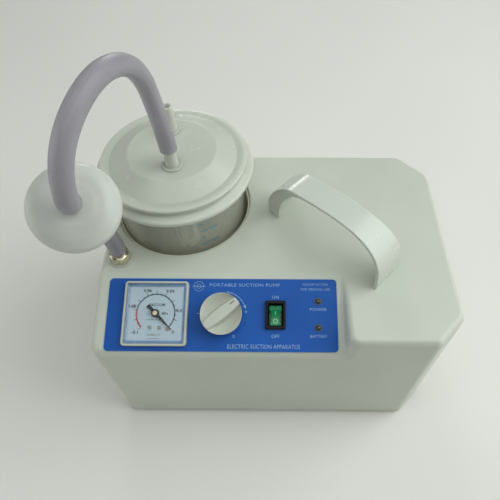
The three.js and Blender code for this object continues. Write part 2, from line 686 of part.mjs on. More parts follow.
function jarLid() {
  const seat = JAR_R + 0.5;
  const body = lathe([
    [0, LID_TOP - 2.4], [34, LID_TOP - 2.4], [47, 9.6], [seat, 9.4], [seat, 0],
    [LID_R, 0], [LID_R, 3.8], [LID_R - 0.8, 4.4], [58, 4.7], [55.2, 6.2], [54.8, 8.6], [56.6, 9.8],
    [56.8, 11], [55.8, 12], [48.8, 12.1], [34.9, LID_TOP], [0, LID_TOP],
  ].map(([r, z]) => [r, z + LID_Z]), 36);
  const specs = [FRONT_NOZZLE, REAR_NOZZLE];
  const bores = specs.map((s) => cylinder(s.boreR, LID_Z, LID_Z + 60, s.x - JAR_X, s.y - JAR_Y, 16));
  return cut(join(body, ...specs.map(nozzle)), ...bores);
}
add('jar_lid', jarLid(), WHITE, jar);
add('lid_seal', lathe([
  [JAR_R - 3.4, JAR_TOP + GAP], [JAR_R + 0.1, JAR_TOP + GAP], [JAR_R + 0.1, LID_Z + 9.4 - GAP],
  [JAR_R - 3.4, LID_Z + 9.4 - GAP], [JAR_R - 3.4, JAR_TOP + GAP],
], 28), RUBBER, jar);

// Overflow valve: a slotted cage under the suction nozzle, with a float that rises to shut it.
const cage = new THREE.Group();
cage.position.set(FRONT_NOZZLE.x, FRONT_NOZZLE.y, 0);
object.add(cage);
const CAGE_R = 9.6;
const CAGE_TOP = LID_Z + LID_TOP - 2.4 - GAP;
const CAGE_LOW = 120;
const FLOAT_DROP = 20;               // float's top below the start of the valve cone at rest

function floatCage() {
  const tube = lathe([
    [5, CAGE_LOW], [CAGE_R, CAGE_LOW], [CAGE_R, CAGE_TOP], [2.4, CAGE_TOP], [2.4, CAGE_TOP - 8],
    [CAGE_R - 1.6, CAGE_TOP - 12], [CAGE_R - 1.6, CAGE_LOW + 2], [5, CAGE_LOW + 2], [5, CAGE_LOW],
  ], 18);
  const slots = [0, 60, 120].map((angle) => (
    box(-14, 14, -2.6, 2.6, CAGE_LOW + 8, CAGE_TOP - 30).rotateZ(angle * deg)
  ));
  return cut(tube, ...slots);
}
add('float_cage', floatCage(), FILTER_WHITE, cage);

function valveFloat() {
  const low = CAGE_LOW + 2 + GAP;
  const high = CAGE_TOP - 12 - FLOAT_DROP;
  return lathe([[0, low], [6.2, low], [7.2, low + 1], [7.2, high - 4], [3, high], [0, high]], 24);
}
add('valve_float', valveFloat(), WHITE, cage);

// ---------------------------------------------------------------- bacteria filter
const filter = new THREE.Group();
filter.position.set(...FILTER.centre);
const filterAxis = new THREE.Vector3(...FILTER.axis).normalize();
filter.quaternion.setFromUnitVectors(new THREE.Vector3(0, 0, 1), filterAxis);
object.add(filter);
const NOZZLE_END = FILTER.half + 17;

// Half shell with its hose nozzle; the same moulding faces both ways.
function filterShell() {
  const { r, half, nozzleR } = FILTER;
  const seam = GAP / 2;
  return lathe([
    [1.8, NOZZLE_END], [nozzleR - 0.7, NOZZLE_END], [nozzleR, half], [r - 9, half],
    [r - 4, half - 3.2], [r - 1, half - 6.6], [r, seam + 1], [r, seam], [r - 2.2, seam],
    [r - 3.6, half - 6], [r - 10, half - 2.2], [1.8, half - 2.2], [1.8, NOZZLE_END],
  ].reverse(), 24);
}
add('filter_front_shell', filterShell(), FILTER_WHITE, filter);
add('filter_back_shell', filterShell().rotateX(Math.PI), FILTER_WHITE, filter);
add('filter_membrane', cylinder(FILTER.r - 2.6, -0.8, 0.8, 0, 0, 36), MEMBRANE, filter);

// ---------------------------------------------------------------- silicone hoses
function filterPoint(distance) {
  const p = filterAxis.clone().multiplyScalar(distance);
  return [FILTER.centre[0] + p.x, FILTER.centre[1] + p.y, FILTER.centre[2] + p.z];
}

// Hose along points; each end is bored out along its own line, deep enough for the nozzle it covers.
function hose(points, steps, depths) {
  const n = points.length;
  const ends = [[points[0], points[1]], [points[n - 1], points[n - 2]]];
  const sockets = ends.map(([end, next], i) => {
    const inward = new THREE.Vector3(...next).sub(new THREE.Vector3(...end)).normalize();
    const turn = new THREE.Quaternion().setFromUnitVectors(new THREE.Vector3(0, 0, 1), inward);
    return cylinder(HOSE_SOCKET_R, -2, depths[i], 0, 0, 12).applyQuaternion(turn).translate(...end);
  });
  return cut(rod(points, HOSE_R, 8, steps), ...sockets);
}

// From the lid's front nozzle, up and over towards the operator, and down into the filter.
const MAIN_HOSE_ROUTE = [
  [FRONT_NOZZLE.x - 0.2, FRONT_NOZZLE.y, 226.5],
  [-77.1, 19.6, 233],
  [-77.6, 19.4, 241],
  [-78.4, 18.9, 252],
  [-79, 17.8, 263],
  [-79.4, 15.6, 274],
  [-79.5, 12, 284.5],
  [-79.5, 6.4, 294.6],
  [-79.9, -0.2, 303.6],
  [-80.7, -8, 311.4],
  [-82.2, -16.6, 317.6],
  [-84.3, -25.4, 321.6],
  [-87.4, -34.8, 323.4],
  [-91, -44.2, 322.3],
  [-95, -53, 318.4],
  [-98.8, -60.4, 312.4],
  [-102.2, -66, 304.4],
  [-105, -69.5, 295],
  [-107.2, -70.6, 285.4],
  filterPoint(FILTER.half + 15),
  filterPoint(FILTER.half + 4),
];
add('main_hose', hose(MAIN_HOSE_ROUTE, 30, [16.5, 14.5]), HOSE);

// From the metal inlet fitting, up and forward into the back of the filter.
const SHORT_HOSE_ROUTE = [
  [FITTING.x, FITTING.y, TOP_Z + HEX_TOP + 3],
  [-120.8, -23.4, 172],
  [-121.4, -25.2, 184],
  [-121.9, -28, 195],
  [-122.1, -31.6, 205],
  [-122.1, -35.8, 214.6],
  [-121.7, -40.4, 223.6],
  filterPoint(-FILTER.half - 14),
  filterPoint(-FILTER.half - 4),
];
add('short_hose', hose(SHORT_HOSE_ROUTE, 12, [18, 14.5]), HOSE);

// ---------------------------------------------------------------- pump, motor and electrics
const PUMP = { x0: 8, x1: 50, y: 38, z0: 22, z1: 74, halfDepth: 24 };
const SHAFT_Z = 46;

function pumpCrankcase() {
  const { x0, x1, y, z0, z1, halfDepth } = PUMP;
  const block = box(x0, x1, y - halfDepth, y + halfDepth, z0, z1);
  const cavity = box(x0 - 5, x1 - 4, y - halfDepth + 4, y + halfDepth - 4, z0 + 4, z1 + 5);
  const shaftHole = cylinder(6, 0, 20, 0, 0, 24).rotateY(Math.PI / 2).translate(x1 - 10, y, SHAFT_Z);
  const legs = box(x0, x1, y - halfDepth, y + halfDepth, BASE_TOP_Z + GAP, z0 + 1);
  const legCut = box(x0 - 5, x1 + 5, y - halfDepth + 6, y + halfDepth - 6, 0, z0 - 1);
  return cut(join(block, cut(legs, legCut)), cavity, shaftHole);
}
add('pump_crankcase', pumpCrankcase(), ALUMINIUM);

function pumpHead() {
  const { x0, x1, y, z1, halfDepth } = PUMP;
  const low = z1 + 2 + 2 * GAP;
  const block = box(x0, x1, y - halfDepth, y + halfDepth, low, low + 16);
  const chamber = cylinder(16, low - 2, low + 6, (x0 + x1) / 2, y, 32);
  const ports = [-10, 10].map((dx) => cylinder(3, low + 15, low + 26, (x0 + x1) / 2 + dx, y, 16));
  return join(cut(block, chamber), ...ports);
}
add('pump_head', pumpHead(), ALUMINIUM);

function pumpDiaphragm() {
  const { x0, x1, y, z1, halfDepth } = PUMP;
  return box(x0, x1, y - halfDepth, y + halfDepth, z1 + GAP, z1 + 2 + GAP);
}
add('pump_diaphragm', pumpDiaphragm(), RUBBER);

const ECCENTRIC_R = 9;
const ECCENTRIC_OFFSET = 2.5;
const ROD_X = 24;

function connectingRod() {
  const ring = cylinder(13, -4, 4, 0, 0, 28).rotateY(Math.PI / 2).translate(ROD_X, PUMP.y, SHAFT_Z);
  const bore = cylinder(ECCENTRIC_R + ECCENTRIC_OFFSET + GAP, -8, 8, 0, 0, 28)
    .rotateY(Math.PI / 2).translate(ROD_X, PUMP.y, SHAFT_Z);
  const arm = box(ROD_X - 3.5, ROD_X + 3.5, PUMP.y - 4, PUMP.y + 4, SHAFT_Z + 12, PUMP.z1 - 3);
  const plate = box(ROD_X - 12, ROD_X + 12, PUMP.y - 12, PUMP.y + 12, PUMP.z1 - 4, PUMP.z1 - 1);
  return cut(join(ring, arm, plate), bore);
}
add('connecting_rod', connectingRod(), ALUMINIUM);

const MOTOR = { x0: 51, x1: 112, r: 25 };

function alongX(geometry, x) {
  return geometry.rotateY(Math.PI / 2).translate(x, PUMP.y, SHAFT_Z);
}

function motorCan() {
  const { x0, x1, r } = MOTOR;
  const length = x1 - x0;
  const can = lathe([
    [0, 0], [7, 0], [7, 3], [r - 2, 3], [r, 5], [r, length - 3], [r - 2, length], [0, length],
  ], 28);
  const bore = cylinder(2.6, -5, length + 5, 0, 0, 16);
  return alongX(cut(can, bore), x0);
}
add('motor_can', motorCan(), STEEL);

function motorShaft() {
  const start = 16;
  const end = MOTOR.x1 + 12;
  const shaft = cylinder(2.5, 0, end - start, 0, 0, 16);
  const eccentric = cylinder(ECCENTRIC_R, ROD_X - start - 4, ROD_X - start + 4, ECCENTRIC_OFFSET, 0, 24);
  return alongX(join(shaft, eccentric), start);
}
add('motor_shaft', motorShaft(), STEEL);

// Cooling fan on the motor shaft.
function coolingFan() {
  const blades = [];
  for (let i = 0; i < 6; i += 1) {
    blades.push(box(4, 21, -0.8, 0.8, 0, 7).rotateX(0.35).rotateZ((i * Math.PI) / 3));
  }
  const hub = cylinder(5.5, -1, 8, 0, 0, 20);
  return alongX(cut(join(hub, ...blades), cylinder(2.5 + GAP, -4, 12, 0, 0, 16)), MOTOR.x1 + 2.6);
}
add('cooling_fan', coolingFan(), BLACK);

function motorBracket() {
  const saddle = box(66, 96, PUMP.y - 22, PUMP.y + 22, BASE_TOP_Z + GAP, SHAFT_Z - 8);
  return cut(saddle, alongX(cylinder(MOTOR.r + GAP, 0, 90, 0, 0, 36), 50));
}
add('motor_bracket', motorBracket(), BASE_IVORY);

const BATTERY_BOX = { x0: 4, x1: 101, y0: -86, y1: -43, z1: 59 };
add('battery_pack', join(
  box(BATTERY_BOX.x0, BATTERY_BOX.x1, BATTERY_BOX.y0, BATTERY_BOX.y1, BASE_TOP_Z + GAP, BATTERY_BOX.z1),
  ...[14, 88].map((x) => box(x, x + 5, -66, -62, BATTERY_BOX.z1 - 1, BATTERY_BOX.z1 + 7)),
), BATTERY);

function circuitBoard() {
  const plate = box(-118, -32, -84, -34, 16, 17.6);
  const parts = [
    box(-112, -76, -78, -44, 17, 44),
    cylinder(7, 17, 42, -62, -70, 20),
    cylinder(5, 17, 34, -62, -52, 20),
    box(-50, -38, -78, -50, 17, 30),
  ];
  const standoffs = [[-114, -80], [-36, -80], [-114, -38], [-36, -38]]
    .map(([x, y]) => cylinder(2.6, BASE_TOP_Z + GAP, 17, x, y, 8));
  return join(plate, ...parts, ...standoffs);
}
add('circuit_board', circuitBoard(), BOARD);

function powerInlet() {
  const { x, z, halfWidth, halfHeight } = INLET;
  const block = (cx, w, h, y0, y1) => box(cx - w, cx + w, y0, y1, z - h, z + h);
  const inner = block(x, halfWidth, halfHeight, HALF_D - 22, HALF_D + 1);
  const flange = block(x, halfWidth + 4, halfHeight + 3, HALF_D + GAP, HALF_D + 2.3);
  const socket = block(x, 11.5, 7.8, HALF_D - 16, HALF_D + 9);
  const pins = [-7, 0, 7].map((dx) => block(x + dx, 1, 2, HALF_D - 17, HALF_D - 1.5));
  return join(cut(join(inner, flange), socket), ...pins);
}
add('power_inlet', powerInlet(), BLACK);

function fuseHolder() {
  const body = lathe([
    [0, -26], [FUSE.r, -26], [FUSE.r, GAP], [9, GAP], [9, 2.4], [7.4, 4.6], [0, 4.6],
  ], 24);
  const slot = box(-5, 5, -0.7, 0.7, 3.4, 6);
  return cut(body, slot).rotateX(-Math.PI / 2).translate(FUSE.x, HALF_D, FUSE.z);
}
add('fuse_holder', fuseHolder(), BLACK);

// ---------------------------------------------------------------- internal vacuum tubes
function panelToObject(x, s, z) {
  return new THREE.Vector3(x, -s, z).applyMatrix4(panel.matrix).toArray();
}
const INNER_TUBE_R = 3.2;
const portZ = PUMP.z1 + 2 + 2 * GAP + 26 + GAP;
const portX = (PUMP.x0 + PUMP.x1) / 2;

// Suction line: inlet fitting to the pump head.
add('suction_tube', rod([
  [FITTING.x, FITTING.y, TOP_Z - 16 - GAP],
  [FITTING.x, FITTING.y - 1, TOP_Z - 28],
  [FITTING.x + 4, -34, 100],
  [-96, -42, 82],
  [-60, -40, 78],
  [-20, -26, 84],
  [4, 8, 112],
  [portX - 12, PUMP.y - 2, portZ + 12],
  [portX - 10, PUMP.y, portZ + 6],
  [portX - 10, PUMP.y, portZ],
], INNER_TUBE_R, 6, 30), HOSE);

// Gauge line: branches towards the gauge port.
add('gauge_tube', rod([
  panelToObject(GAUGE.x, GAUGE.s, -GAUGE.canDepth - 10 - GAP),
  panelToObject(GAUGE.x, GAUGE.s, -GAUGE.canDepth - 20),
  [-78, -40, 92],
  [-62, -34.5, 100],
  [KNOB.x - 6, -36, 108],
  panelToObject(KNOB.x - 6, KNOB.s - 12, -44),
  panelToObject(KNOB.x, KNOB.s, -38),
  panelToObject(KNOB.x, KNOB.s, -30 - GAP),
], 2.4, 6, 20), HOSE);

// ---------------------------------------------------------------- origin
// The object's origin is the middle of its footprint box, hoses and filter left out, at floor level.
const FREE_NODES = [
  'main_hose', 'short_hose', 'filter_front_shell', 'filter_back_shell', 'filter_membrane',
];
const root = new THREE.Group();
root.add(object);
object.updateMatrixWorld(true);
const footprint = new THREE.Box3();
object.traverse((child) => {
  if (child.isMesh && !FREE_NODES.includes(child.name)) footprint.expandByObject(child, true);
});
const middle = footprint.getCenter(new THREE.Vector3());
object.position.set(-middle.x, -middle.y, 0);

export default root;
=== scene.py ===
# Visual model of a portable electric suction pump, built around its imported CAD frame.
# The script's own units are millimetres; every mesh is written in metres in the CAD frame.
import json
import math

import bmesh
import bpy
from mathutils import Matrix, Vector
from mathutils.geometry import delaunay_2d_cdt


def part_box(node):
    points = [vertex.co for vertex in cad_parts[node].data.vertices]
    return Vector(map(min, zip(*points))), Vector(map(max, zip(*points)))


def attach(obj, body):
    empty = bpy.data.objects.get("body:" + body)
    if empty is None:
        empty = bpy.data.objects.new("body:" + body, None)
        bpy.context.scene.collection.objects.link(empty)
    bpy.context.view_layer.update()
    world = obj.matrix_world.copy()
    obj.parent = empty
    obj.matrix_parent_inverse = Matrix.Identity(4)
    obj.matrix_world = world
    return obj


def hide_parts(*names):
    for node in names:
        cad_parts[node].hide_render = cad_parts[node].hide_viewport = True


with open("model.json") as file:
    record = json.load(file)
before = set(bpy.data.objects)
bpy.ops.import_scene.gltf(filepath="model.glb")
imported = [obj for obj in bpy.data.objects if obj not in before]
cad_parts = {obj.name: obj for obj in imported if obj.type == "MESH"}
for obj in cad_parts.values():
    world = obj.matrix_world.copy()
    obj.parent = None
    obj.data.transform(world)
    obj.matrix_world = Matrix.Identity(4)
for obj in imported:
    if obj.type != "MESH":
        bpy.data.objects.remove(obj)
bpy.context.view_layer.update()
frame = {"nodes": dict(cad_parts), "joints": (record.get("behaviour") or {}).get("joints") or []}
NODES = frame["nodes"]
JOINTS = {joint["name"]: joint for joint in frame["joints"]}
MM = 0.001
TAU = 2 * math.pi


def node_box(node):
    """Lowest and highest corner of a CAD node, in millimetres."""
    low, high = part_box(node)
    return low / MM, high / MM


def joint_point(name):
    return Vector(JOINTS[name]["pos_m"]) / MM


# ---------------------------------------------------------------- camera
CAMERA_PLACE = Vector((-1.16, -234.7, 459.81))
CAMERA_YAW = 0.775
CAMERA_PITCH = 52.98
CAMERA_ROLL = -0.334


def make_camera():
    data = bpy.data.cameras.new("camera")
    data.sensor_width = 36
    data.lens = 34.44
    data.shift_x = -0.0358
    data.shift_y = -0.0298
    camera = bpy.data.objects.new("camera", data)
    bpy.context.scene.collection.objects.link(camera)
    yaw = math.radians(CAMERA_YAW)
    pitch = math.radians(CAMERA_PITCH)
    forward = Vector((
        -math.sin(yaw) * math.cos(pitch), math.cos(yaw) * math.cos(pitch), -math.sin(pitch),
    ))
    turn = forward.to_track_quat("-Z", "Y").to_matrix().to_4x4()
    roll = Matrix.Rotation(math.radians(CAMERA_ROLL), 4, "Z")
    camera.matrix_world = Matrix.Translation(CAMERA_PLACE * MM) @ turn @ roll
    bpy.context.scene.camera = camera


make_camera()


# ---------------------------------------------------------------- materials
def links_of(material):
    nodes = material.node_tree.nodes
    return nodes, material.node_tree.links, nodes["Principled BSDF"]


def noise(nodes, links, size_mm, detail=2.0, stretch=None):
    """Noise texture with features of about size_mm, in the piece's own coordinates."""
    coordinates = nodes.new("ShaderNodeTexCoord")
    texture = nodes.new("ShaderNodeTexNoise")
    texture.inputs["Scale"].default_value = 1 / (size_mm * MM)
    texture.inputs["Detail"].default_value = detail
    if stretch:
        mapping = nodes.new("ShaderNodeMapping")
        mapping.inputs["Scale"].default_value = stretch
        links.new(coordinates.outputs["Object"], mapping.inputs["Vector"])
        links.new(mapping.outputs["Vector"], texture.inputs["Vector"])
    else:
        links.new(coordinates.outputs["Object"], texture.inputs["Vector"])
    return texture


def spread(nodes, links, source, low, high):
    """The noise's middle range mapped to low..high."""
    remap = nodes.new("ShaderNodeMapRange")
    remap.inputs["From Min"].default_value = 0.3
    remap.inputs["From Max"].default_value = 0.7
    remap.inputs["To Min"].default_value = low
    remap.inputs["To Max"].default_value = high
    links.new(source, remap.inputs["Value"])
    return remap.outputs["Result"]


def surface(name, color, roughness, mottle=0.03, mottle_mm=25, smudge=0.05, smudge_mm=12,
            grain=0.02, grain_mm=0.7, stretch=None, **sockets):
    """Material with colour variation, uneven gloss and a fine moulded or brushed grain."""
    material = bpy.data.materials.new(name)
    material.use_nodes = True
    nodes, links, shader = links_of(material)
    tone = noise(nodes, links, mottle_mm, 3.0)
    mix = nodes.new("ShaderNodeMix")
    mix.data_type = "RGBA"
    dark = [c * (1 - mottle) for c in color]
    light = [min(1.0, c * (1 + mottle)) for c in color]
    mix.inputs["A"].default_value = (*dark, 1)
    mix.inputs["B"].default_value = (*light, 1)
    links.new(spread(nodes, links, tone.outputs["Fac"], 0, 1), mix.inputs["Factor"])
    links.new(mix.outputs["Result"], shader.inputs["Base Color"])
    gloss = noise(nodes, links, smudge_mm, 4.0)
    low = max(0.0, roughness - smudge)
    links.new(spread(nodes, links, gloss.outputs["Fac"], low, roughness + smudge), shader.inputs["Roughness"])
    fine = noise(nodes, links, grain_mm, 2.0, stretch)
    bump = nodes.new("ShaderNodeBump")
    bump.inputs["Strength"].default_value = 1.0
    bump.inputs["Distance"].default_value = grain * MM
    links.new(fine.outputs["Fac"], bump.inputs["Height"])
    links.new(bump.outputs["Normal"], shader.inputs["Normal"])
    for socket, value in sockets.items():
        shader.inputs[socket.replace("_", " ")].default_value = value
    return material


IVORY = surface("ivory_housing", (0.57, 0.605, 0.525), 0.33, mottle=0.025, mottle_mm=60, smudge=0.05,
                grain=0.035, grain_mm=0.9)
IVORY_SMOOTH = surface("ivory_trim", (0.52, 0.545, 0.47), 0.33, mottle=0.02, grain=0.01)
WHITE = surface("white_lid", (0.57, 0.6, 0.52), 0.24, mottle=0.02, mottle_mm=40, smudge=0.04,
                grain=0.02, grain_mm=4, Subsurface_Weight=0.5, Subsurface_Scale=0.01,
                Subsurface_Radius=(1, 1, 1))
HANDLE_WHITE = surface("white_handle", (0.62, 0.655, 0.58), 0.24, mottle=0.015, smudge=0.04,
                       grain=0.02, grain_mm=6)
WELL = surface("well_tan", (0.74, 0.71, 0.56), 0.5, mottle=0.06, mottle_mm=20, grain=0.04)
BLUE = surface("blue_overlay", (0.012, 0.098, 0.42), 0.5, mottle=0.05, mottle_mm=30, smudge=0.06,
               grain=0.03, grain_mm=0.35, Specular_IOR_Level=0.2)
BLACK = surface("black_plastic", (0.006, 0.006, 0.007), 0.5, mottle=0.1, grain=0.02, Specular_IOR_Level=0.2)
RUBBER = surface("black_rubber", (0.02, 0.02, 0.02), 0.75, mottle=0.15, grain=0.06)
GREEN = surface("green_rocker", (0.008, 0.36, 0.13), 0.32, mottle=0.12, mottle_mm=3, smudge=0.05,
                grain=0.01, Transmission_Weight=0.35, IOR=1.49)
GREEN_DARK = surface("green_band", (0.008, 0.1, 0.045), 0.25, mottle=0.1, mottle_mm=3, grain=0.01)
LENS = surface("lamp_lens", (0.05, 0.055, 0.035), 0.15, mottle=0.1, mottle_mm=1, grain=0.01, Coat_Weight=0.4)
LAMP_RIM = surface("lamp_rim", (0.14, 0.13, 0.1), 0.45, mottle=0.1, mottle_mm=2, grain=0.01)
DIAL = surface("dial_face", (0.56, 0.66, 0.73), 0.6, mottle=0.03, mottle_mm=20, grain=0.01)
PRINT_DARK = surface("dark_print", (0.03, 0.045, 0.05), 0.5, mottle=0.15, mottle_mm=2, grain=0.0)
PRINT_RED = surface("red_print", (0.45, 0.02, 0.035), 0.5, mottle=0.1, mottle_mm=2, grain=0.0)
PRINT_WHITE = surface("white_print", (0.27, 0.42, 0.64), 0.5, mottle=0.12, mottle_mm=2, grain=0.0)
PRINT_PALE = surface("pale_print", (0.35, 0.75, 0.5), 0.4, mottle=0.1, mottle_mm=2, grain=0.0)
PRINT_BLUE = surface("jar_scale_print", (0.03, 0.24, 0.42), 0.5, mottle=0.2, mottle_mm=2, grain=0.0)
NEEDLE = surface("needle_black", (0.01, 0.01, 0.012), 0.35, mottle=0.1, mottle_mm=3, grain=0.0)
NICKEL = surface("nickel", (0.66, 0.61, 0.47), 0.24, mottle=0.08, mottle_mm=4, smudge=0.08, smudge_mm=3,
                 grain=0.01, grain_mm=0.2, Metallic=1.0)
BRASS = surface("brass", (0.68, 0.5, 0.24), 0.28, mottle=0.08, mottle_mm=5, smudge=0.08,
                grain=0.01, grain_mm=0.2, Metallic=1.0)
STEEL = surface("zinc_steel", (0.55, 0.56, 0.57), 0.32, mottle=0.06, mottle_mm=8, smudge=0.08,
                grain=0.02, grain_mm=0.3, stretch=(1, 8, 8), Metallic=1.0)
ALUMINIUM = surface("cast_aluminium", (0.55, 0.56, 0.57), 0.5, mottle=0.06, mottle_mm=6,
                    grain=0.08, grain_mm=0.6, Metallic=1.0)
BOARD = surface("board_laminate", (0.03, 0.2, 0.07), 0.35, mottle=0.1, mottle_mm=5, grain=0.02)
BATTERY = surface("battery_case", (0.06, 0.065, 0.07), 0.5, mottle=0.08, grain=0.04)
FILTER = surface("filter_shell", (0.64, 0.67, 0.6), 0.36, mottle=0.025, mottle_mm=14, smudge=0.05,
                 grain=0.015, grain_mm=1.2, Subsurface_Weight=0.6, Subsurface_Scale=0.012,
                 Subsurface_Radius=(1, 1, 1))
PAPER = surface("filter_paper", (0.75, 0.76, 0.74), 0.9, mottle=0.05, mottle_mm=1, grain=0.08, grain_mm=0.3)
CAGE_WHITE = surface("cage_plastic", (0.82, 0.84, 0.76), 0.35, mottle=0.03, grain=0.01,
                     Subsurface_Weight=0.3, Subsurface_Scale=0.004, Subsurface_Radius=(1, 1, 1))
CLEAR = surface("clear_jar", (0.86, 0.88, 0.74), 0.08, mottle=0.02, mottle_mm=30, smudge=0.03,
                grain=0.03, grain_mm=9, Transmission_Weight=0.4, IOR=1.46, Alpha=0.42)
WINDOW = surface("clear_window", (0.88, 0.94, 0.98), 0.08, mottle=0.01, smudge=0.02,
                 grain=0.0, Transmission_Weight=1.0, IOR=1.3, Alpha=0.4)
HOSE = surface("hose_silicone", (0.56, 0.54, 0.59), 0.38, mottle=0.01, mottle_mm=30, smudge=0.05, smudge_mm=14,
               grain=0.0, Transmission_Weight=0.6, IOR=1.38, Alpha=0.85)
EDGE_BLUE = surface("window_edge", (0.2, 0.34, 0.58), 0.3, mottle=0.1, mottle_mm=8, grain=0.0)
# Dark grey that stands for the shade inside the knob's pointer slot: painted shade, not a dark part.
PAINTED_SLOT_SHADE = surface("painted_slot_shade", (0.1, 0.1, 0.09), 0.5, mottle=0.1, grain=0.0)
GREEN_BAND = surface("green_top", (0.006, 0.17, 0.07), 0.4, mottle=0.12, mottle_mm=2, grain=0.01,
                     Specular_IOR_Level=0.25)
BRASS_PALE = surface("pale_brass", (0.72, 0.62, 0.42), 0.35, mottle=0.08, mottle_mm=2, grain=0.01, Metallic=1.0)
SCREW_DULL = surface("dull_screw", (0.42, 0.38, 0.32), 0.5, mottle=0.1, mottle_mm=1, grain=0.01, Metallic=0.6)
RUBBER_SOFT = surface("diaphragm_rubber", (0.04, 0.04, 0.045), 0.6, mottle=0.12, grain=0.03)


# ---------------------------------------------------------------- mesh helpers
def make_object(name, vertices, faces, place=None):
    """Closed mesh from points in millimetres, with its faces turned outwards."""
    mesh = bpy.data.meshes.new(name)
    place = place or Matrix.Identity(4)
    mesh.from_pydata([(place @ Vector(v)) * MM for v in vertices], [], faces)
    obj = bpy.data.objects.new(name, mesh)
    bpy.context.scene.collection.objects.link(obj)
    body = bmesh.new()
    body.from_mesh(mesh)
    bmesh.ops.remove_doubles(body, verts=body.verts, dist=1e-6)
    bmesh.ops.recalc_face_normals(body, faces=body.faces)
    body.to_mesh(mesh)
    body.free()
    return obj


def dress(obj, material, body, replaces=(), angle=38):
    """Smooth shading, material and body for a finished piece."""
    mesh = obj.data
    mesh.materials.clear()
    mesh.materials.append(material)
    mesh.polygons.foreach_set("use_smooth", [True] * len(mesh.polygons))
    mesh.set_sharp_from_angle(angle=math.radians(angle))
    weighted = obj.modifiers.new("weighted_normals", "WEIGHTED_NORMAL")
    weighted.keep_sharp = True
    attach(obj, body)
    if replaces:
        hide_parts(*replaces)
    return obj


def skin(rings, cap_start=True, cap_end=True, loop=False):
    """Vertices and faces through rings of equal length."""
    count = len(rings[0])
    vertices = [point for ring in rings for point in ring]
    faces = []
    spans = len(rings) if loop else len(rings) - 1
    for k in range(spans):
        a = k * count
        b = ((k + 1) % len(rings)) * count
        for i in range(count):
            j = (i + 1) % count
            faces.append((a + i, a + j, b + j, b + i))
    if cap_start and not loop:
        faces.append(tuple(reversed(range(count))))
    if cap_end and not loop:
        last = (len(rings) - 1) * count
        faces.append(tuple(range(last, last + count)))
    return vertices, faces


def rounded(points, closed=False, steps=6):
    """Outline through 2-D points; a point's third number is the radius of the arc that rounds it."""
    result = []
    count = len(points)
    for i, point in enumerate(points):
        corner = Vector(point[:2])
        radius = point[2] if len(point) > 2 else 0
        inside = closed or 0 < i < count - 1
        if not radius or not inside:
            result.append(tuple(corner))
            continue
        before = (Vector(points[i - 1][:2]) - corner)
        after = (Vector(points[(i + 1) % count][:2]) - corner)
        u = before.normalized()
        v = after.normalized()
        half = math.acos(max(-1, min(1, u.dot(v)))) / 2
        if half > math.pi / 2 - 0.02:
            result.append(tuple(corner))
            continue
        cut = min(radius / math.tan(half), 0.49 * before.length, 0.49 * after.length)
        r = cut * math.tan(half)
        centre = corner + (u + v).normalized() * (r / math.sin(half))
        start = corner + u * cut - centre
        end = corner + v * cut - centre
        turn = math.atan2(start.x * end.y - start.y * end.x, start.dot(end))
        for k in range(steps + 1):
            angle = turn * k / steps
            c, s = math.cos(angle), math.sin(angle)
            result.append((centre.x + start.x * c - start.y * s, centre.y + start.x * s + start.y * c))
    return result


def circle(r, z=0, segments=48, x=0, y=0):
    return [(x + r * math.cos(TAU * i / segments), y + r * math.sin(TAU * i / segments), z)
            for i in range(segments)]


def lathe(name, profile, place=None, segments=96, closed=False, steps=6):
    """Profile of (radius, z, fillet) turned about Z. A closed profile makes a ring."""
    outline = rounded(profile, closed, steps)
    rings = [circle(max(r, 0), z, segments) for r, z in outline]
    vertices, faces = skin(rings, cap_start=False, cap_end=False, loop=closed)
    return make_object(name, vertices, faces, place)


def rounded_rectangle(half_x, half_y, r, steps=6):
    points = []
    for cx, cy, start in ((1, -1, -0.25), (1, 1, 0), (-1, 1, 0.25), (-1, -1, 0.5)):
        for k in range(steps + 1):
            angle = TAU * (start + 0.25 * k / steps)
            points.append((cx * (half_x - r) + r * math.cos(angle), cy * (half_y - r) + r * math.sin(angle)))
    return points


def pad(name, half_x, half_y, corner, z0, z1, edge, place, steps=6, bottom_edge=0.0):
    """Rounded rectangular block with a rounded top edge."""
    rings = []
    layers = []
    if bottom_edge:
        for k in range(4):
            angle = math.pi / 2 * k / 4
            layers.append((bottom_edge * (1 - math.sin(angle)), z0 + bottom_edge * (1 - math.cos(angle))))
    layers.append((0, z0 + bottom_edge))
    for k in range(6):
        angle = math.pi / 2 * k / 5
        layers.append((edge * (1 - math.cos(angle)), z1 - edge * (1 - math.sin(angle))))
    for inset, z in layers:
        ring = rounded_rectangle(half_x - inset, half_y - inset, max(corner - inset, 0.05), steps)
        rings.append([(x, y, z) for x, y in ring])
    return make_object(name, *skin(rings), place)


def cap_faces(rings, extra_points=(), extra_edges=()):
    """Triangles that fill the first ring around the other rings, as 2-D points and index triples."""
    points = []
    edges = []
    for ring in rings:
        base = len(points)
        points.extend((p[0], p[1]) for p in ring)
        edges.extend((base + i, base + (i + 1) % len(ring)) for i in range(len(ring)))
    base = len(points)
    points.extend((p[0], p[1]) for p in extra_points)
    edges.extend((base + a, base + b) for a, b in extra_edges)
    found = delaunay_2d_cdt([Vector(p) for p in points], edges, [], 0, 1e-5)
    vertices, triangles = found[0], found[2]
    return vertices, [t for t in triangles if inside_shape(centre_of(vertices, t), rings)]


def centre_of(vertices, triangle):
    return sum((vertices[i] for i in triangle), Vector((0, 0))) / len(triangle)


def inside_ring(point, ring):
    odd = False
    x, y = point
    for i in range(len(ring)):
        x0, y0 = ring[i][0], ring[i][1]
        x1, y1 = ring[i - 1][0], ring[i - 1][1]
        if (y0 > y) != (y1 > y) and x < (x1 - x0) * (y - y0) / (y1 - y0) + x0:
            odd = not odd
    return odd


def inside_shape(point, rings):
    return inside_ring(point, rings[0]) and not any(inside_ring(point, hole) for hole in rings[1:])


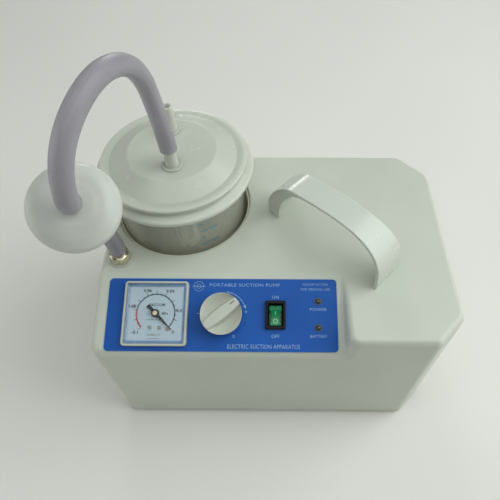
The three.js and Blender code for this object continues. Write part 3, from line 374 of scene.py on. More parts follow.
class MeshParts:
    """Collects patches whose shared points are merged by make_object."""

    def __init__(self):
        self.vertices = []
        self.faces = []

    def add(self, vertices, faces):
        base = len(self.vertices)
        self.vertices.extend(tuple(v) for v in vertices)
        self.faces.extend(tuple(base + i for i in face) for face in faces)

    def strip(self, rings):
        self.add(*skin(rings, cap_start=False, cap_end=False))

    def object(self, name, place=None):
        return make_object(name, self.vertices, self.faces, place)


def plate(name, outline, holes, z0, z1, place):
    """Flat plate with holes, from 2-D rings."""
    parts = MeshParts()
    vertices, triangles = cap_faces([outline, *holes])
    for z in (z0, z1):
        parts.add([(v.x, v.y, z) for v in vertices], triangles)
    for ring in (outline, *holes):
        parts.strip([[(x, y, z0) for x, y in ring], [(x, y, z1) for x, y in ring]])
    return parts.object(name, place)


def subtract(obj, *cutters):
    """Cuts closed objects out of obj and removes them."""
    for cutter in cutters:
        modifier = obj.modifiers.new("cut", "BOOLEAN")
        modifier.operation = "DIFFERENCE"
        modifier.solver = "EXACT"
        modifier.object = cutter
    bpy.context.view_layer.update()
    graph = bpy.context.evaluated_depsgraph_get()
    mesh = bpy.data.meshes.new_from_object(obj.evaluated_get(graph))
    obj.modifiers.clear()
    old = obj.data
    obj.data = mesh
    mesh.name = old.name
    bpy.data.meshes.remove(old)
    for cutter in cutters:
        bpy.data.objects.remove(cutter)
    return obj


def block(name, low, high, place=None):
    x0, y0, z0 = low
    x1, y1, z1 = high
    rings = [[(x0, y0, z), (x1, y0, z), (x1, y1, z), (x0, y1, z)] for z in (z0, z1)]
    return make_object(name, *skin(rings), place)


def merge(name, objects):
    """One object from several; their meshes stay separate shells."""
    body = bmesh.new()
    for obj in objects:
        body.from_mesh(obj.data)
        bpy.data.objects.remove(obj)
    mesh = bpy.data.meshes.new(name)
    body.to_mesh(mesh)
    body.free()
    merged = bpy.data.objects.new(name, mesh)
    bpy.context.scene.collection.objects.link(merged)
    return merged


# ---------------------------------------------------------------- frames taken from the CAD
PANEL_NORMAL = Vector(JOINTS["knob_turn"]["axis"]).normalized()
PANEL_UP = PANEL_NORMAL.cross(Vector((1, 0, 0)))


def panel_place(point):
    """Frame on the control panel: x to the right, y up the slope, z out of the panel."""
    columns = Matrix((Vector((1, 0, 0)), PANEL_UP, PANEL_NORMAL)).transposed().to_4x4()
    return Matrix.Translation(point) @ columns


KNOB_PLACE = panel_place(joint_point("knob_turn"))
GAUGE_PLACE = panel_place(joint_point("needle_sweep"))


# ---------------------------------------------------------------- silicone hoses, which are free cords
HOSE_R = 6.0
HOSE_BORE = 4.0
LID_HIGH = node_box("jar_lid")[1].z
FILTER_CENTRE = (node_box("filter_membrane")[0] + node_box("filter_membrane")[1]) / 2
FILTER_AXIS = Vector((0.241, -0.496, 0.834)).normalized()
FILTER_HALF = 11.0
DESIGN_SHIFT = Vector((2.25, -2.45, 0))


def filter_point(distance):
    return FILTER_CENTRE + FILTER_AXIS * distance


def shifted(points):
    return [Vector(p) + DESIGN_SHIFT for p in points]


MAIN_HOSE_ROUTE = shifted([
    (-76.8, 19.6, 226.5), (-77.1, 19.6, 233), (-77.6, 19.4, 241), (-78.4, 18.9, 252), (-79, 17.8, 263),
    (-79.4, 15.6, 274), (-79.5, 12, 284.5), (-79.5, 6.4, 294.6), (-79.9, -0.2, 303.6), (-80.7, -8, 311.4),
    (-82.2, -16.6, 317.6), (-84.3, -25.4, 321.6), (-87.4, -34.8, 323.4), (-91, -44.2, 322.3), (-95, -53, 318.4),
    (-98.8, -60.4, 312.4), (-102.2, -66, 304.4), (-105, -69.5, 295), (-107.2, -70.6, 285.4),
]) + [filter_point(FILTER_HALF + 15), filter_point(FILTER_HALF + 4)]
SHORT_HOSE_ROUTE = shifted([
    (-120.6, -23, 162.4), (-120.8, -23.4, 172), (-121.4, -25.2, 184), (-121.9, -28, 195), (-122.1, -31.6, 205),
    (-122.1, -35.8, 214.6), (-121.7, -40.4, 223.6),
]) + [filter_point(-FILTER_HALF - 14), filter_point(-FILTER_HALF - 4)]


def spline(points, per_span=6):
    """Centripetal Catmull-Rom curve through the points."""
    ends = [points[0] * 2 - points[1], *points, points[-1] * 2 - points[-2]]
    result = []
    for i in range(1, len(ends) - 2):
        p0, p1, p2, p3 = ends[i - 1:i + 3]
        d1 = max((p1 - p0).length, 1e-6) ** 0.5
        d2 = max((p2 - p1).length, 1e-6) ** 0.5
        d3 = max((p3 - p2).length, 1e-6) ** 0.5
        m1 = (p2 - p1) + d2 * ((p1 - p0) / d1 - (p2 - p0) / (d1 + d2))
        m2 = (p2 - p1) + d2 * ((p3 - p2) / d3 - (p3 - p1) / (d2 + d3))
        for k in range(per_span):
            t = k / per_span
            h = (2 * t**3 - 3 * t**2 + 1, t**3 - 2 * t**2 + t, -2 * t**3 + 3 * t**2, t**3 - t**2)
            result.append(p1 * h[0] + m1 * h[1] + p2 * h[2] + m2 * h[3])
    result.append(points[-1].copy())
    return result


def line_length(points):
    return sum((b - a).length for a, b in zip(points, points[1:]))


def tube_frames(line):
    """Position and two cross axes along a line, carried without twist."""
    frames = []
    side = None
    for i, point in enumerate(line):
        ahead = line[min(i + 1, len(line) - 1)] - line[max(i - 1, 0)]
        ahead.normalize()
        if side is None:
            side = ahead.orthogonal().normalized()
        side = (side - ahead * side.dot(ahead)).normalized()
        frames.append((point, side, ahead.cross(side)))
    return frames


def sweep_ring(station, r, segments, ripple=0.0):
    point, side, other = station
    ring = []
    for i in range(segments):
        angle = TAU * i / segments
        wave = ripple * (math.sin(11 * angle + 1) + 0.6 * math.sin(17 * angle))
        ring.append(point + side * ((r + wave) * math.cos(angle)) + other * ((r + wave) * math.sin(angle)))
    return ring


def hollow_hose(name, route, nozzles, segments=72):
    """Hose with a bore; over each nozzle its end is stretched a little and opened to the nozzle."""
    line = spline(route)
    frames = tube_frames(line)
    total = line_length(line)
    travelled = [0.0]
    for a, b in zip(line, line[1:]):
        travelled.append(travelled[-1] + (b - a).length)
    outer = []
    inner = []
    for station, s in zip(frames, travelled):
        bulge = 0.0
        bore = HOSE_BORE
        for distance, (reach, r) in ((s, nozzles[0]), (total - s, nozzles[1])):
            blend = max(0.0, min(1.0, (reach - distance) / 3.0 + 0.5))
            blend = blend * blend * (3 - 2 * blend)
            bore = max(bore, HOSE_BORE + (r - HOSE_BORE) * blend)
            bulge = max(bulge, 0.28 * blend)
        outer.append(sweep_ring(station, HOSE_R + bulge, segments, 0.03))
        inner.append(sweep_ring(station, bore, segments))
    lip = 0.5
    start = [sweep_ring(frames[0], HOSE_R - lip, segments)]
    rings = [*start, *outer, sweep_ring(frames[-1], HOSE_R - lip, segments), *reversed(inner)]
    return make_object(name, *skin(rings, loop=True)), line


def add_hose(name, route, nozzles):
    hose, line = hollow_hose(name, route, nozzles)
    dress(hose, HOSE, "lid", [name.replace("_visual", "")])
    return hose


# ---------------------------------------------------------------- bacteria filter on the hoses
def filter_place(flip):
    turn = (FILTER_AXIS * (-1 if flip else 1)).to_track_quat("Z", "Y").to_matrix().to_4x4()
    return Matrix.Translation(FILTER_CENTRE) @ turn


def filter_half(name, node, flip):
    """Blown dome with a soft shoulder and a hose nozzle; it meets its twin at the weld seam."""
    r = 26.0
    end = FILTER_HALF + 17
    profile = [
        (1.8, end), (3.3, end, 0.3), (4.0, FILTER_HALF + 1.5, 2), (4.6, FILTER_HALF, 1.5), (12, FILTER_HALF - 0.1, 10),
        (19.4, FILTER_HALF - 1.6, 14), (24.8, FILTER_HALF - 5.6, 8), (r, 1.4, 6), (r, 0.25, 0.3), (r - 2.2, 0.15),
        (r - 3.6, FILTER_HALF - 6), (r - 10, FILTER_HALF - 2.2), (1.8, FILTER_HALF - 2.2),
    ]
    shell = lathe(name, profile, filter_place(flip), closed=True)
    return dress(shell, FILTER, "lid", [node])


def build_hoses():
    front = filter_half("filter_front", "filter_front_shell", False)
    back = filter_half("filter_back", "filter_back_shell", True)
    filter_hold = (14.5, 4.9)
    add_hose("main_hose_visual", MAIN_HOSE_ROUTE, ((16.5, 4.9), filter_hold))
    add_hose("short_hose_visual", SHORT_HOSE_ROUTE, ((18.5, 4.9), filter_hold))


build_hoses()




# ---------------------------------------------------------------- housing
HOUSING_LOW, HOUSING_HIGH = node_box("housing_shell")
BASE_LOW, BASE_HIGH = node_box("base_plate")
TOP = HOUSING_HIGH.z
WALL = 3.0
CHAMFER_BACK = 24.0
CHAMFER_FRONT = 21.5
LEFT_CORNER_R = 8.0
CHAMFER_CORNER_R = 8.0
BACK_CORNER_R = 14.0
RIM_R = 4.6
RIM_FALL = 7.0                       # height of the top edge's rounding, taller than it is wide
STEP_X = 53.05                       # wall of the raised block beside the panel
STEP_R = 4.8                         # fillet at its foot and round at its head
STEP_DRAFT = math.radians(3)
STEP_CORNER_R = 8.0                  # upright corner where that wall meets the front
FOLD_R = 2.4                         # half the length of the soft fold above the panel
PANEL_TAN = -PANEL_NORMAL.y / PANEL_NORMAL.z
KNOB_POINT = joint_point("knob_turn")
FOLD_Y = KNOB_POINT.y + PANEL_NORMAL.z * (TOP - KNOB_POINT.z) / -PANEL_NORMAL.y
CORNER_STEPS = 8
RIM_STEPS = 7
STEP_STEPS = 7


class TopSkin:
    """Height of the housing's top over a plan point, for the outside or an inset skin."""

    def __init__(self, inset, step_r):
        self.top = TOP - inset
        self.fold = FOLD_Y + inset * math.tan(math.atan(PANEL_TAN) / 2)
        self.step_x = STEP_X + inset
        self.front = HOUSING_LOW.y
        self.r = step_r

    def drop(self, y):
        t = self.fold - y
        if t <= -FOLD_R:
            return 0.0
        if t < FOLD_R:
            return PANEL_TAN * (t + FOLD_R) ** 2 / (4 * FOLD_R)
        return PANEL_TAN * t

    def wall(self, y):
        """Start of the step's section at y, its arc angle, its straight height and its width."""
        drop = self.drop(y)
        steepest = math.pi / 2 - STEP_DRAFT
        arcs = 2 * self.r * (1 - math.cos(steepest))
        if drop >= arcs:
            angle, straight = steepest, drop - arcs
        else:
            angle, straight = math.acos(max(0.0, 1 - drop / (2 * self.r))), 0.0
        width = 2 * self.r * math.sin(angle) + (straight / math.tan(angle) if straight else 0)
        inward = min(STEP_CORNER_R, max(0.0, STEP_CORNER_R - (y - self.front)))
        shift = STEP_CORNER_R - math.sqrt(STEP_CORNER_R**2 - inward**2)
        return self.step_x - width / 2 + shift, angle, straight, width

    def columns(self, y):
        """Plan positions across the step's section at y."""
        x, angle, _, width = self.wall(y)
        foot = [x + self.r * math.sin(angle * k / STEP_STEPS) for k in range(STEP_STEPS + 1)]
        head = [x + width - self.r * math.sin(angle * k / STEP_STEPS) for k in range(STEP_STEPS, -1, -1)]
        return foot + head

    def height(self, x, y):
        drop = self.drop(y)
        if drop <= 0:
            return self.top
        start, angle, straight, width = self.wall(y)
        across = x - start
        arc = self.r * math.sin(angle)
        if across <= 0:
            depth = drop
        elif across < arc:
            depth = drop - (self.r - math.sqrt(self.r**2 - across**2))
        elif across < width - arc:
            depth = drop - self.r * (1 - math.cos(angle)) - (across - arc) * math.tan(angle)
        elif across < width:
            depth = self.r - math.sqrt(self.r**2 - (width - across) ** 2)
        else:
            depth = 0.0
        return self.top - max(0.0, min(drop, depth))


OUTSIDE = TopSkin(0, STEP_R)
INSIDE = TopSkin(WALL, 1.0)


def arc_points(centre, r, start, end, steps=CORNER_STEPS):
    return [
        (centre[0] + r * math.cos(start + (end - start) * k / steps),
         centre[1] + r * math.sin(start + (end - start) * k / steps))
        for k in range(steps + 1)
    ]


def corner_arcs():
    """Centre, radius and angles of the arc at each plan corner, counter-clockwise from the front left."""
    x0, y0 = HOUSING_LOW.x, HOUSING_LOW.y
    x1, y1 = HOUSING_HIGH.x, HOUSING_HIGH.y
    corners = [
        (x0, y0, LEFT_CORNER_R), (x1 - CHAMFER_FRONT, y0, CHAMFER_CORNER_R), (x1, y0 + CHAMFER_FRONT, CHAMFER_CORNER_R),
        (x1, y1 - CHAMFER_BACK, BACK_CORNER_R), (x1 - CHAMFER_BACK, y1, BACK_CORNER_R), (x0, y1, LEFT_CORNER_R),
    ]
    arcs = []
    for i, (x, y, r) in enumerate(corners):
        corner = Vector((x, y))
        before = Vector(corners[i - 1][:2]) - corner
        after = Vector(corners[(i + 1) % len(corners)][:2]) - corner
        u, v = before.normalized(), after.normalized()
        half = math.acos(u.dot(v)) / 2
        centre = corner + (u + v).normalized() * (r / math.sin(half))
        normal_in = Vector((-u.y, u.x)) if u.cross(v) < 0 else Vector((u.y, -u.x))
        normal_out = Vector((v.y, -v.x)) if u.cross(v) < 0 else Vector((-v.y, v.x))
        start = math.atan2(normal_in.y, normal_in.x)
        end = math.atan2(normal_out.y, normal_out.x)
        while end < start:
            end += TAU
        arcs.append((centre, r, start, end))
    return arcs


ARCS = corner_arcs()
FOLD_ROWS = [FOLD_Y + FOLD_R * (1 - k / 4) for k in range(9)]


def housing_ring(inset, top_skin):
    """Plan outline at an inset, with points where the step and the fold cross it."""
    front = HOUSING_LOW.y + inset
    left = HOUSING_LOW.x + inset
    points = []
    for i, (centre, r, start, end) in enumerate(ARCS):
        points += arc_points(centre, max(r - inset, 0.5), start, end)
        if i == 0:
            points += [(x, front) for x in top_skin.columns(front)]
        if i == len(ARCS) - 1:
            points += [(left, y) for y in FOLD_ROWS]
    return points


WELL_LOW, WELL_HIGH = node_box("jar_well")
WELL_CENTRE = (WELL_LOW + WELL_HIGH) / 2
WELL_R = (WELL_HIGH.x - WELL_LOW.x) / 2
FITTING_LOW, FITTING_HIGH = node_box("inlet_fitting")
FITTING_CENTRE = (FITTING_LOW + FITTING_HIGH) / 2
SWITCH_POINT = (node_box("switch_frame")[0] + node_box("switch_frame")[1]) / 2


def on_panel(point, z=0.0):
    """The foot of a point on the panel's surface, plus z along its normal."""
    away = (point - KNOB_POINT).dot(PANEL_NORMAL)
    return point - PANEL_NORMAL * (away - z)


SWITCH_PLACE = panel_place(on_panel(joint_point("rocker_tip")))
LAMP_PLACES = [
    panel_place(on_panel((node_box(node)[0] + node_box(node)[1]) / 2)) for node in ("power_lamp", "battery_lamp")
]
WELL_EDGE = 1.4


def hole_cutters():
    """Tools for the well, with its rounded mouth, and for the holes of everything mounted on top."""
    r = WELL_R + 0.3
    mouth = [(0, 30), (r, 30)]
    for k in range(7):
        angle = math.pi / 2 * k / 6
        mouth.append((r + WELL_EDGE * (1 - math.cos(angle)), TOP - WELL_EDGE * (1 - math.sin(angle))))
    mouth += [(r + WELL_EDGE + 3, TOP + 3), (0, TOP + 3)]
    upright = Matrix.Translation((WELL_CENTRE.x, WELL_CENTRE.y, 0))
    tools = [lathe("cut", mouth, upright, 160)]
    fitting = Matrix.Translation((FITTING_CENTRE.x, FITTING_CENTRE.y, TOP))
    for place, r in ((fitting, 4.6), (GAUGE_PLACE, 20.6), (KNOB_PLACE, 4.4), (LAMP_PLACES[0], 2.7), (LAMP_PLACES[1], 2.7)):
        tools.append(lathe("cut", [(0, -8), (r, -8), (r, 8), (0, 8)], place, 48))
    rings = [[(x, y, z) for x, y in rounded_rectangle(6.9, 9.9, 0.5, 3)] for z in (-8, 8)]
    tools.append(make_object("cut", *skin(rings), SWITCH_PLACE))
    return tools


def step_grid(top_skin, first_y):
    """Plan points and edges that follow the step and the fold, between the front rim and the fold."""
    back = top_skin.fold + FOLD_R
    rows = [first_y + (STEP_CORNER_R - RIM_R) * (k / 3) for k in range(4)]
    slope_start = rows[-1]
    slope_end = top_skin.fold - FOLD_R
    count = 16
    rows += [slope_start + (slope_end - slope_start) * k / count for k in range(1, count + 1)]
    rows += [slope_end + (back - slope_end) * k / 8 for k in range(1, 8)]
    rows = rows[1:]
    points = []
    edges = []
    width = 2 * STEP_STEPS + 2
    for y in rows:
        base = len(points)
        points += [(x, y) for x in top_skin.columns(y)]
        edges += [(base + k, base + k + 1) for k in range(width - 1)]
        if base:
            edges += [(base + k, base + k - width) for k in range(width)]
    tip = len(points)
    points.append((top_skin.wall(back)[0], back))
    edges += [(tip, tip - width + k) for k in range(width)]
    return points, edges


def fold_lines(top_skin, first_y):
    """Plan points along the soft fold, from the left rim to the step."""
    points = []
    edges = []
    for y in FOLD_ROWS[1:-1]:
        start = top_skin.wall(y)[0]
        base = len(points)
        xs = [HOUSING_LOW.x + RIM_R + 6 + k * 12 for k in range(15)]
        xs = [x for x in xs if x < start - 4]
        points += [(x, y) for x in xs]
        edges += [(base + k, base + k + 1) for k in range(len(xs) - 1)]
    return points, edges


def housing_shell():
    parts = MeshParts()
    bottom = HOUSING_LOW.z
    rings = [housing_ring(0, OUTSIDE)]
    rings = [[(x, y, bottom) for x, y in rings[0]]]
    for k in range(RIM_STEPS + 1):
        angle = math.pi / 2 * k / RIM_STEPS
        inset = RIM_R * (1 - math.cos(angle))
        fall = RIM_FALL * (1 - math.sin(angle))
        rings.append([(x, y, OUTSIDE.height(x, y) - fall) for x, y in housing_ring(inset, OUTSIDE)])
    parts.strip(rings)
    inner_plan = housing_ring(WALL, INSIDE)
    inner = [
        [(x, y, bottom) for x, y in inner_plan],
        [(x, y, INSIDE.height(x, y)) for x, y in inner_plan],
    ]
    parts.strip(inner)
    parts.strip([rings[0], inner[0]])
    grid = step_grid(OUTSIDE, HOUSING_LOW.y + RIM_R)
    folds = fold_lines(OUTSIDE, HOUSING_LOW.y + RIM_R)
    shift = len(grid[0])
    extra_points = grid[0] + folds[0]
    extra_edges = grid[1] + [(a + shift, b + shift) for a, b in folds[1]]
    vertices, faces = cap_faces([rings[-1]], extra_points, extra_edges)
    parts.add([(v.x, v.y, OUTSIDE.height(v.x, v.y)) for v in vertices], faces)
    vertices, faces = cap_faces([inner[-1]])
    parts.add([(v.x, v.y, INSIDE.height(v.x, v.y)) for v in vertices], faces)
    return parts.object("housing")


INLET_LOW, INLET_HIGH = node_box("power_inlet")
FUSE_LOW, FUSE_HIGH = node_box("fuse_holder")
VENT_ROWS = 5
VENT_PITCH = 7.0
VENT_HEIGHT = 3.0


def back_cutters():
    """Tools for the inlet, the fuse holder and the cooling slots in the back wall."""
    back = HOUSING_HIGH.y
    inlet = (INLET_LOW + INLET_HIGH) / 2
    fuse = (FUSE_LOW + FUSE_HIGH) / 2
    tools = [block("cut", (inlet.x - 14.1, back - 9, inlet.z - 10.3), (inlet.x + 14.1, back + 9, inlet.z + 10.3))]
    turned = Matrix.Translation((fuse.x, back, fuse.z)) @ Matrix.Rotation(math.pi / 2, 4, "X")
    tools.append(lathe("cut", [(0, -9), (6.5, -9), (6.5, 9), (0, 9)], turned, 32))
    for row in range(VENT_ROWS):
        z = 86 + row * VENT_PITCH
        half = VENT_HEIGHT / 2
        slot = [(x * 1.0, y * 1.0) for x, y in rounded_rectangle(25, half, half * 0.98, 6)]
        place = Matrix.Translation((75.25, back, z + half)) @ Matrix.Rotation(math.pi / 2, 4, "X")
        rings = [[(x, y, z_) for x, y in slot] for z_ in (-9, 9)]
        tools.append(make_object("cut", *skin(rings), place))
    return tools


def screw_posts():
    """Posts inside the housing that take the base screws."""
    posts = []
    for number in range(1, 5):
        low, high = node_box(f"base_screw_{number}")
        centre = (low + high) / 2
        roof = INSIDE.height(centre.x, centre.y) + 0.5
        profile = [(1.9, HOUSING_LOW.z + 0.1), (4, HOUSING_LOW.z + 0.1), (4, roof), (0, roof), (0, roof - 3), (1.9, roof - 3)]
        posts.append(lathe("post", profile, Matrix.Translation((centre.x, centre.y, 0)), 24, closed=False))
    return posts


def build_housing():
    shell = subtract(housing_shell(), *hole_cutters(), *back_cutters())
    dress(shell, IVORY, "housing", ["housing_shell"], angle=32)


def build_base_plate():
    """Flat base with the housing's outline and a small lower bevel."""
    rings = []
    for inset, z in ((0.9, BASE_LOW.z), (0.1, BASE_LOW.z + 0.3), (-0.3, BASE_LOW.z + 0.9), (-0.4, BASE_HIGH.z - 0.9),
                     (0.1, BASE_HIGH.z - 0.1), (0.4, BASE_HIGH.z)):
        rings.append([(x, y, z) for x, y in housing_ring(inset, OUTSIDE)])
    plate_piece = make_object("base", *skin(rings))
    dress(plate_piece, IVORY_SMOOTH, "housing", ["base_plate"])


build_housing()
build_base_plate()


# ---------------------------------------------------------------- small printed marks
FONT_LIFT = 0.05                     # printing stands this far out of the surface it is on


def lettering(text, size, x, y, z, width=None, weight=0.0):
    """Thin raised lettering as a mesh, centred on (x, y) with its underside at z."""
    curve = bpy.data.curves.new("lettering", "FONT")
    curve.body = text
    curve.size = size
    curve.align_x = "CENTER"
    curve.align_y = "CENTER"
    curve.extrude = FONT_LIFT / 2
    curve.resolution_u = 3
    curve.space_character = 1.08
    curve.offset = weight
    source = bpy.data.objects.new("lettering", curve)
    bpy.context.scene.collection.objects.link(source)
    bpy.context.view_layer.update()
    graph = bpy.context.evaluated_depsgraph_get()
    mesh = bpy.data.meshes.new_from_object(source.evaluated_get(graph))
    bpy.data.objects.remove(source)
    xs = [v.co.x for v in mesh.vertices]
    stretch = width / (max(xs) - min(xs)) if width else 1
    mesh.transform(Matrix.Translation((x, y, z + FONT_LIFT / 2)) @ Matrix.Diagonal((stretch, 1, 1, 1)))
    return bpy.data.objects.new("lettering", mesh)


def arc_strip(r0, r1, start, end, z, steps=64):
    """Flat curved strip between two radii, angles in degrees."""
    outline = []
    for k in range(steps + 1):
        angle = math.radians(start + (end - start) * k / steps)
        outline.append((r1 * math.cos(angle), r1 * math.sin(angle)))
    for k in range(steps, -1, -1):
        angle = math.radians(start + (end - start) * k / steps)
        outline.append((r0 * math.cos(angle), r0 * math.sin(angle)))
    return flat_shape(outline, z)


def flat_shape(outline, z, lift=FONT_LIFT):
    vertices, triangles = cap_faces([outline])
    parts = MeshParts()
    for height in (z, z + lift):
        parts.add([(v.x, v.y, height) for v in vertices], triangles)
    parts.strip([[(x, y, z) for x, y in outline], [(x, y, z + lift) for x, y in outline]])
    mesh = bpy.data.meshes.new("mark")
    mesh.from_pydata([tuple(v) for v in parts.vertices], [], parts.faces)
    return bpy.data.objects.new("mark", mesh)


def bar(length, width, angle, x, y, z):
    """Thin rectangle whose long side points along angle, in degrees."""
    c, s = math.cos(math.radians(angle)), math.sin(math.radians(angle))
    corners = [(-length / 2, -width / 2), (length / 2, -width / 2), (length / 2, width / 2), (-length / 2, width / 2)]
    return flat_shape([(x + a * c - b * s, y + a * s + b * c) for a, b in corners], z)


def ring_mark(r0, r1, x, y, z):
    parts = MeshParts()
    low = [circle(r, z, 40, x, y) for r in (r0, r1)]
    high = [circle(r, z + FONT_LIFT, 40, x, y) for r in (r0, r1)]
    for a, b in ((low[0], low[1]), (low[1], high[1]), (high[1], high[0]), (high[0], low[0])):
        parts.strip([a, b])
    mesh = bpy.data.meshes.new("mark")
    mesh.from_pydata([tuple(v) for v in parts.vertices], [], parts.faces)
    return bpy.data.objects.new("mark", mesh)


def print_marks(name, marks, place, material, body):
    """One piece from marks drawn in millimetres in the frame of place."""
    body_mesh = bmesh.new()
    for mark in marks:
        body_mesh.from_mesh(mark.data)
        bpy.data.objects.remove(mark)
    bmesh.ops.transform(body_mesh, matrix=Matrix.Scale(MM, 4) @ place, verts=body_mesh.verts)
    bmesh.ops.remove_doubles(body_mesh, verts=body_mesh.verts, dist=1e-7)
    bmesh.ops.recalc_face_normals(body_mesh, faces=body_mesh.faces)
    mesh = bpy.data.meshes.new(name)
    body_mesh.to_mesh(mesh)
    body_mesh.free()
    mesh.materials.append(material)
    piece = bpy.data.objects.new(name, mesh)
    bpy.context.scene.collection.objects.link(piece)
    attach(piece, body)
    return piece


# ---------------------------------------------------------------- control panel
OVERLAY_Z = 0.05
OVERLAY_TOP = 0.55
OVERLAY_TOP_S = 3.8                  # distances down the slope from the fold
OVERLAY_BOTTOM_S = 57.6
PANEL_PLACE = panel_place(Vector((0, FOLD_Y, TOP)))
INTO_PANEL = PANEL_PLACE.inverted()
LAMP_POINTS = [INTO_PANEL @ place.translation for place in LAMP_PLACES]
SWITCH_CENTRE = INTO_PANEL @ SWITCH_PLACE.translation
KNOB_CENTRE = INTO_PANEL @ KNOB_PLACE.translation
GAUGE_CENTRE = INTO_PANEL @ GAUGE_PLACE.translation


def build_overlay():
    low, high = node_box("panel_overlay")
    middle = (low.x + high.x) / 2
    centre_y = -(OVERLAY_TOP_S + OVERLAY_BOTTOM_S) / 2
    half_y = (OVERLAY_BOTTOM_S - OVERLAY_TOP_S) / 2
    outline = [(middle + x, centre_y + y) for x, y in rounded_rectangle((high.x - low.x) / 2, half_y, 3.0)]
    holes = [
        [(x, y) for x, y, _ in circle(20.6, 0, 64, GAUGE_CENTRE.x, GAUGE_CENTRE.y)],
        [(x, y) for x, y, _ in circle(4.6, 0, 32, KNOB_CENTRE.x, KNOB_CENTRE.y)],
        [(SWITCH_CENTRE.x + x, SWITCH_CENTRE.y + y) for x, y in rounded_rectangle(6.9, 9.9, 0.5, 3)],
    ]
    holes += [[(x, y) for x, y, _ in circle(2.7, 0, 32, p.x, p.y)] for p in LAMP_POINTS]
    overlay = plate("overlay", outline, holes, OVERLAY_Z, OVERLAY_TOP, PANEL_PLACE)
    dress(overlay, BLUE, "housing", ["panel_overlay"])


def knob_arrow():
    """Curved arrow that points clockwise round the upper right of the knob."""
    r = 17.9
    strip = arc_strip(r - 0.22, r + 0.22, 24, 82, OVERLAY_TOP)
    tip = []
    for distance, angle in ((r, 16.5), (r + 1.3, 25), (r, 23.4), (r - 1.3, 25)):
        tip.append((distance * math.cos(math.radians(angle)), distance * math.sin(math.radians(angle))))
    return [strip, flat_shape(tip, OVERLAY_TOP)]


def build_overlay_print():
    move = Matrix.Translation((KNOB_CENTRE.x, KNOB_CENTRE.y, 0))
    arrow = knob_arrow()
    for mark in arrow:
        mark.data.transform(move)
    k = KNOB_CENTRE
    s = SWITCH_CENTRE
    marks = arrow + [
        bar(2.2, 0.35, 0, k.x + 17.4, k.y + 2.8, OVERLAY_TOP), bar(2.2, 0.35, 90, k.x + 17.4, k.y + 2.8, OVERLAY_TOP + 0.01),
        bar(2.2, 0.35, 0, k.x - 18.4, k.y + 1.4, OVERLAY_TOP),
        ring_mark(0.75, 1.05, k.x + 8.6, k.y - 15.2, OVERLAY_TOP),
        lettering("ON", 3.3, s.x, s.y + 13.2, OVERLAY_TOP), lettering("OFF", 3.3, s.x, s.y - 15.6, OVERLAY_TOP),
        lettering("PORTABLE SUCTION PUMP", 3.3, -21.5, -8.6, OVERLAY_TOP, 53),
        lettering("ELECTRIC SUCTION APPARATUS", 4.4, -6.8, -54.0, OVERLAY_TOP, 53),
        lettering("VACUUM SUCTION", 2.5, LAMP_POINTS[0].x - 1.8, -7.9, OVERLAY_TOP, 19),
        lettering("FOR MEDICAL USE", 2.5, LAMP_POINTS[0].x - 1.8, -11.6, OVERLAY_TOP, 22),
        ring_mark(3.5, 3.8, -56, -9.6, OVERLAY_TOP), ring_mark(1.5, 1.8, -56, -9.6, OVERLAY_TOP),
        bar(9.8, 0.4, 0, -56, -9.6, OVERLAY_TOP),
    ]
    for point, label in zip(LAMP_POINTS, ("POWER", "BATTERY")):
        marks.append(lettering(label, 3.0, point.x, point.y - 6.2, OVERLAY_TOP, 12.5))
    print_marks("overlay_print", marks, PANEL_PLACE, PRINT_WHITE, "housing")


# ---------------------------------------------------------------- vacuum gauge
BEZEL_HALF = 23.7
BEZEL_TOP = 5.4
GLASS_HALF = 21.9
DIAL_TOP = 2.9
DIAL_R = 14.2
DIAL_START = -45.0                   # direction of the zero mark
DIAL_SWEEP = 270.0
DIAL_FULL = 0.1                      # vacuum in MPa at the end of the scale


def square_ring(half, corner, z, steps=4):
    return [(x, y, z) for x, y in rounded_rectangle(half, half, corner, steps)]


def build_bezel():
    rings = [square_ring(GLASS_HALF + 0.1, 0.6, OVERLAY_TOP + 0.1), square_ring(BEZEL_HALF, 2.4, OVERLAY_TOP + 0.1)]
    edge = 0.8
    for k in range(6):
        angle = math.pi / 2 * k / 5
        rings.append(square_ring(BEZEL_HALF - edge * (1 - math.cos(angle)), 2.4, BEZEL_TOP - edge * (1 - math.sin(angle))))
    for k in range(4):
        angle = math.pi / 2 * k / 3
        inner = GLASS_HALF + 0.1 + 0.4 * (1 - math.sin(angle))
        rings.append(square_ring(inner, 0.6 + inner - GLASS_HALF, BEZEL_TOP - 0.4 * (1 - math.cos(angle))))
    vertices, faces = skin(rings, loop=True)
    dress(make_object("bezel", vertices, faces, GAUGE_PLACE), IVORY_SMOOTH, "housing", ["gauge_bezel"])


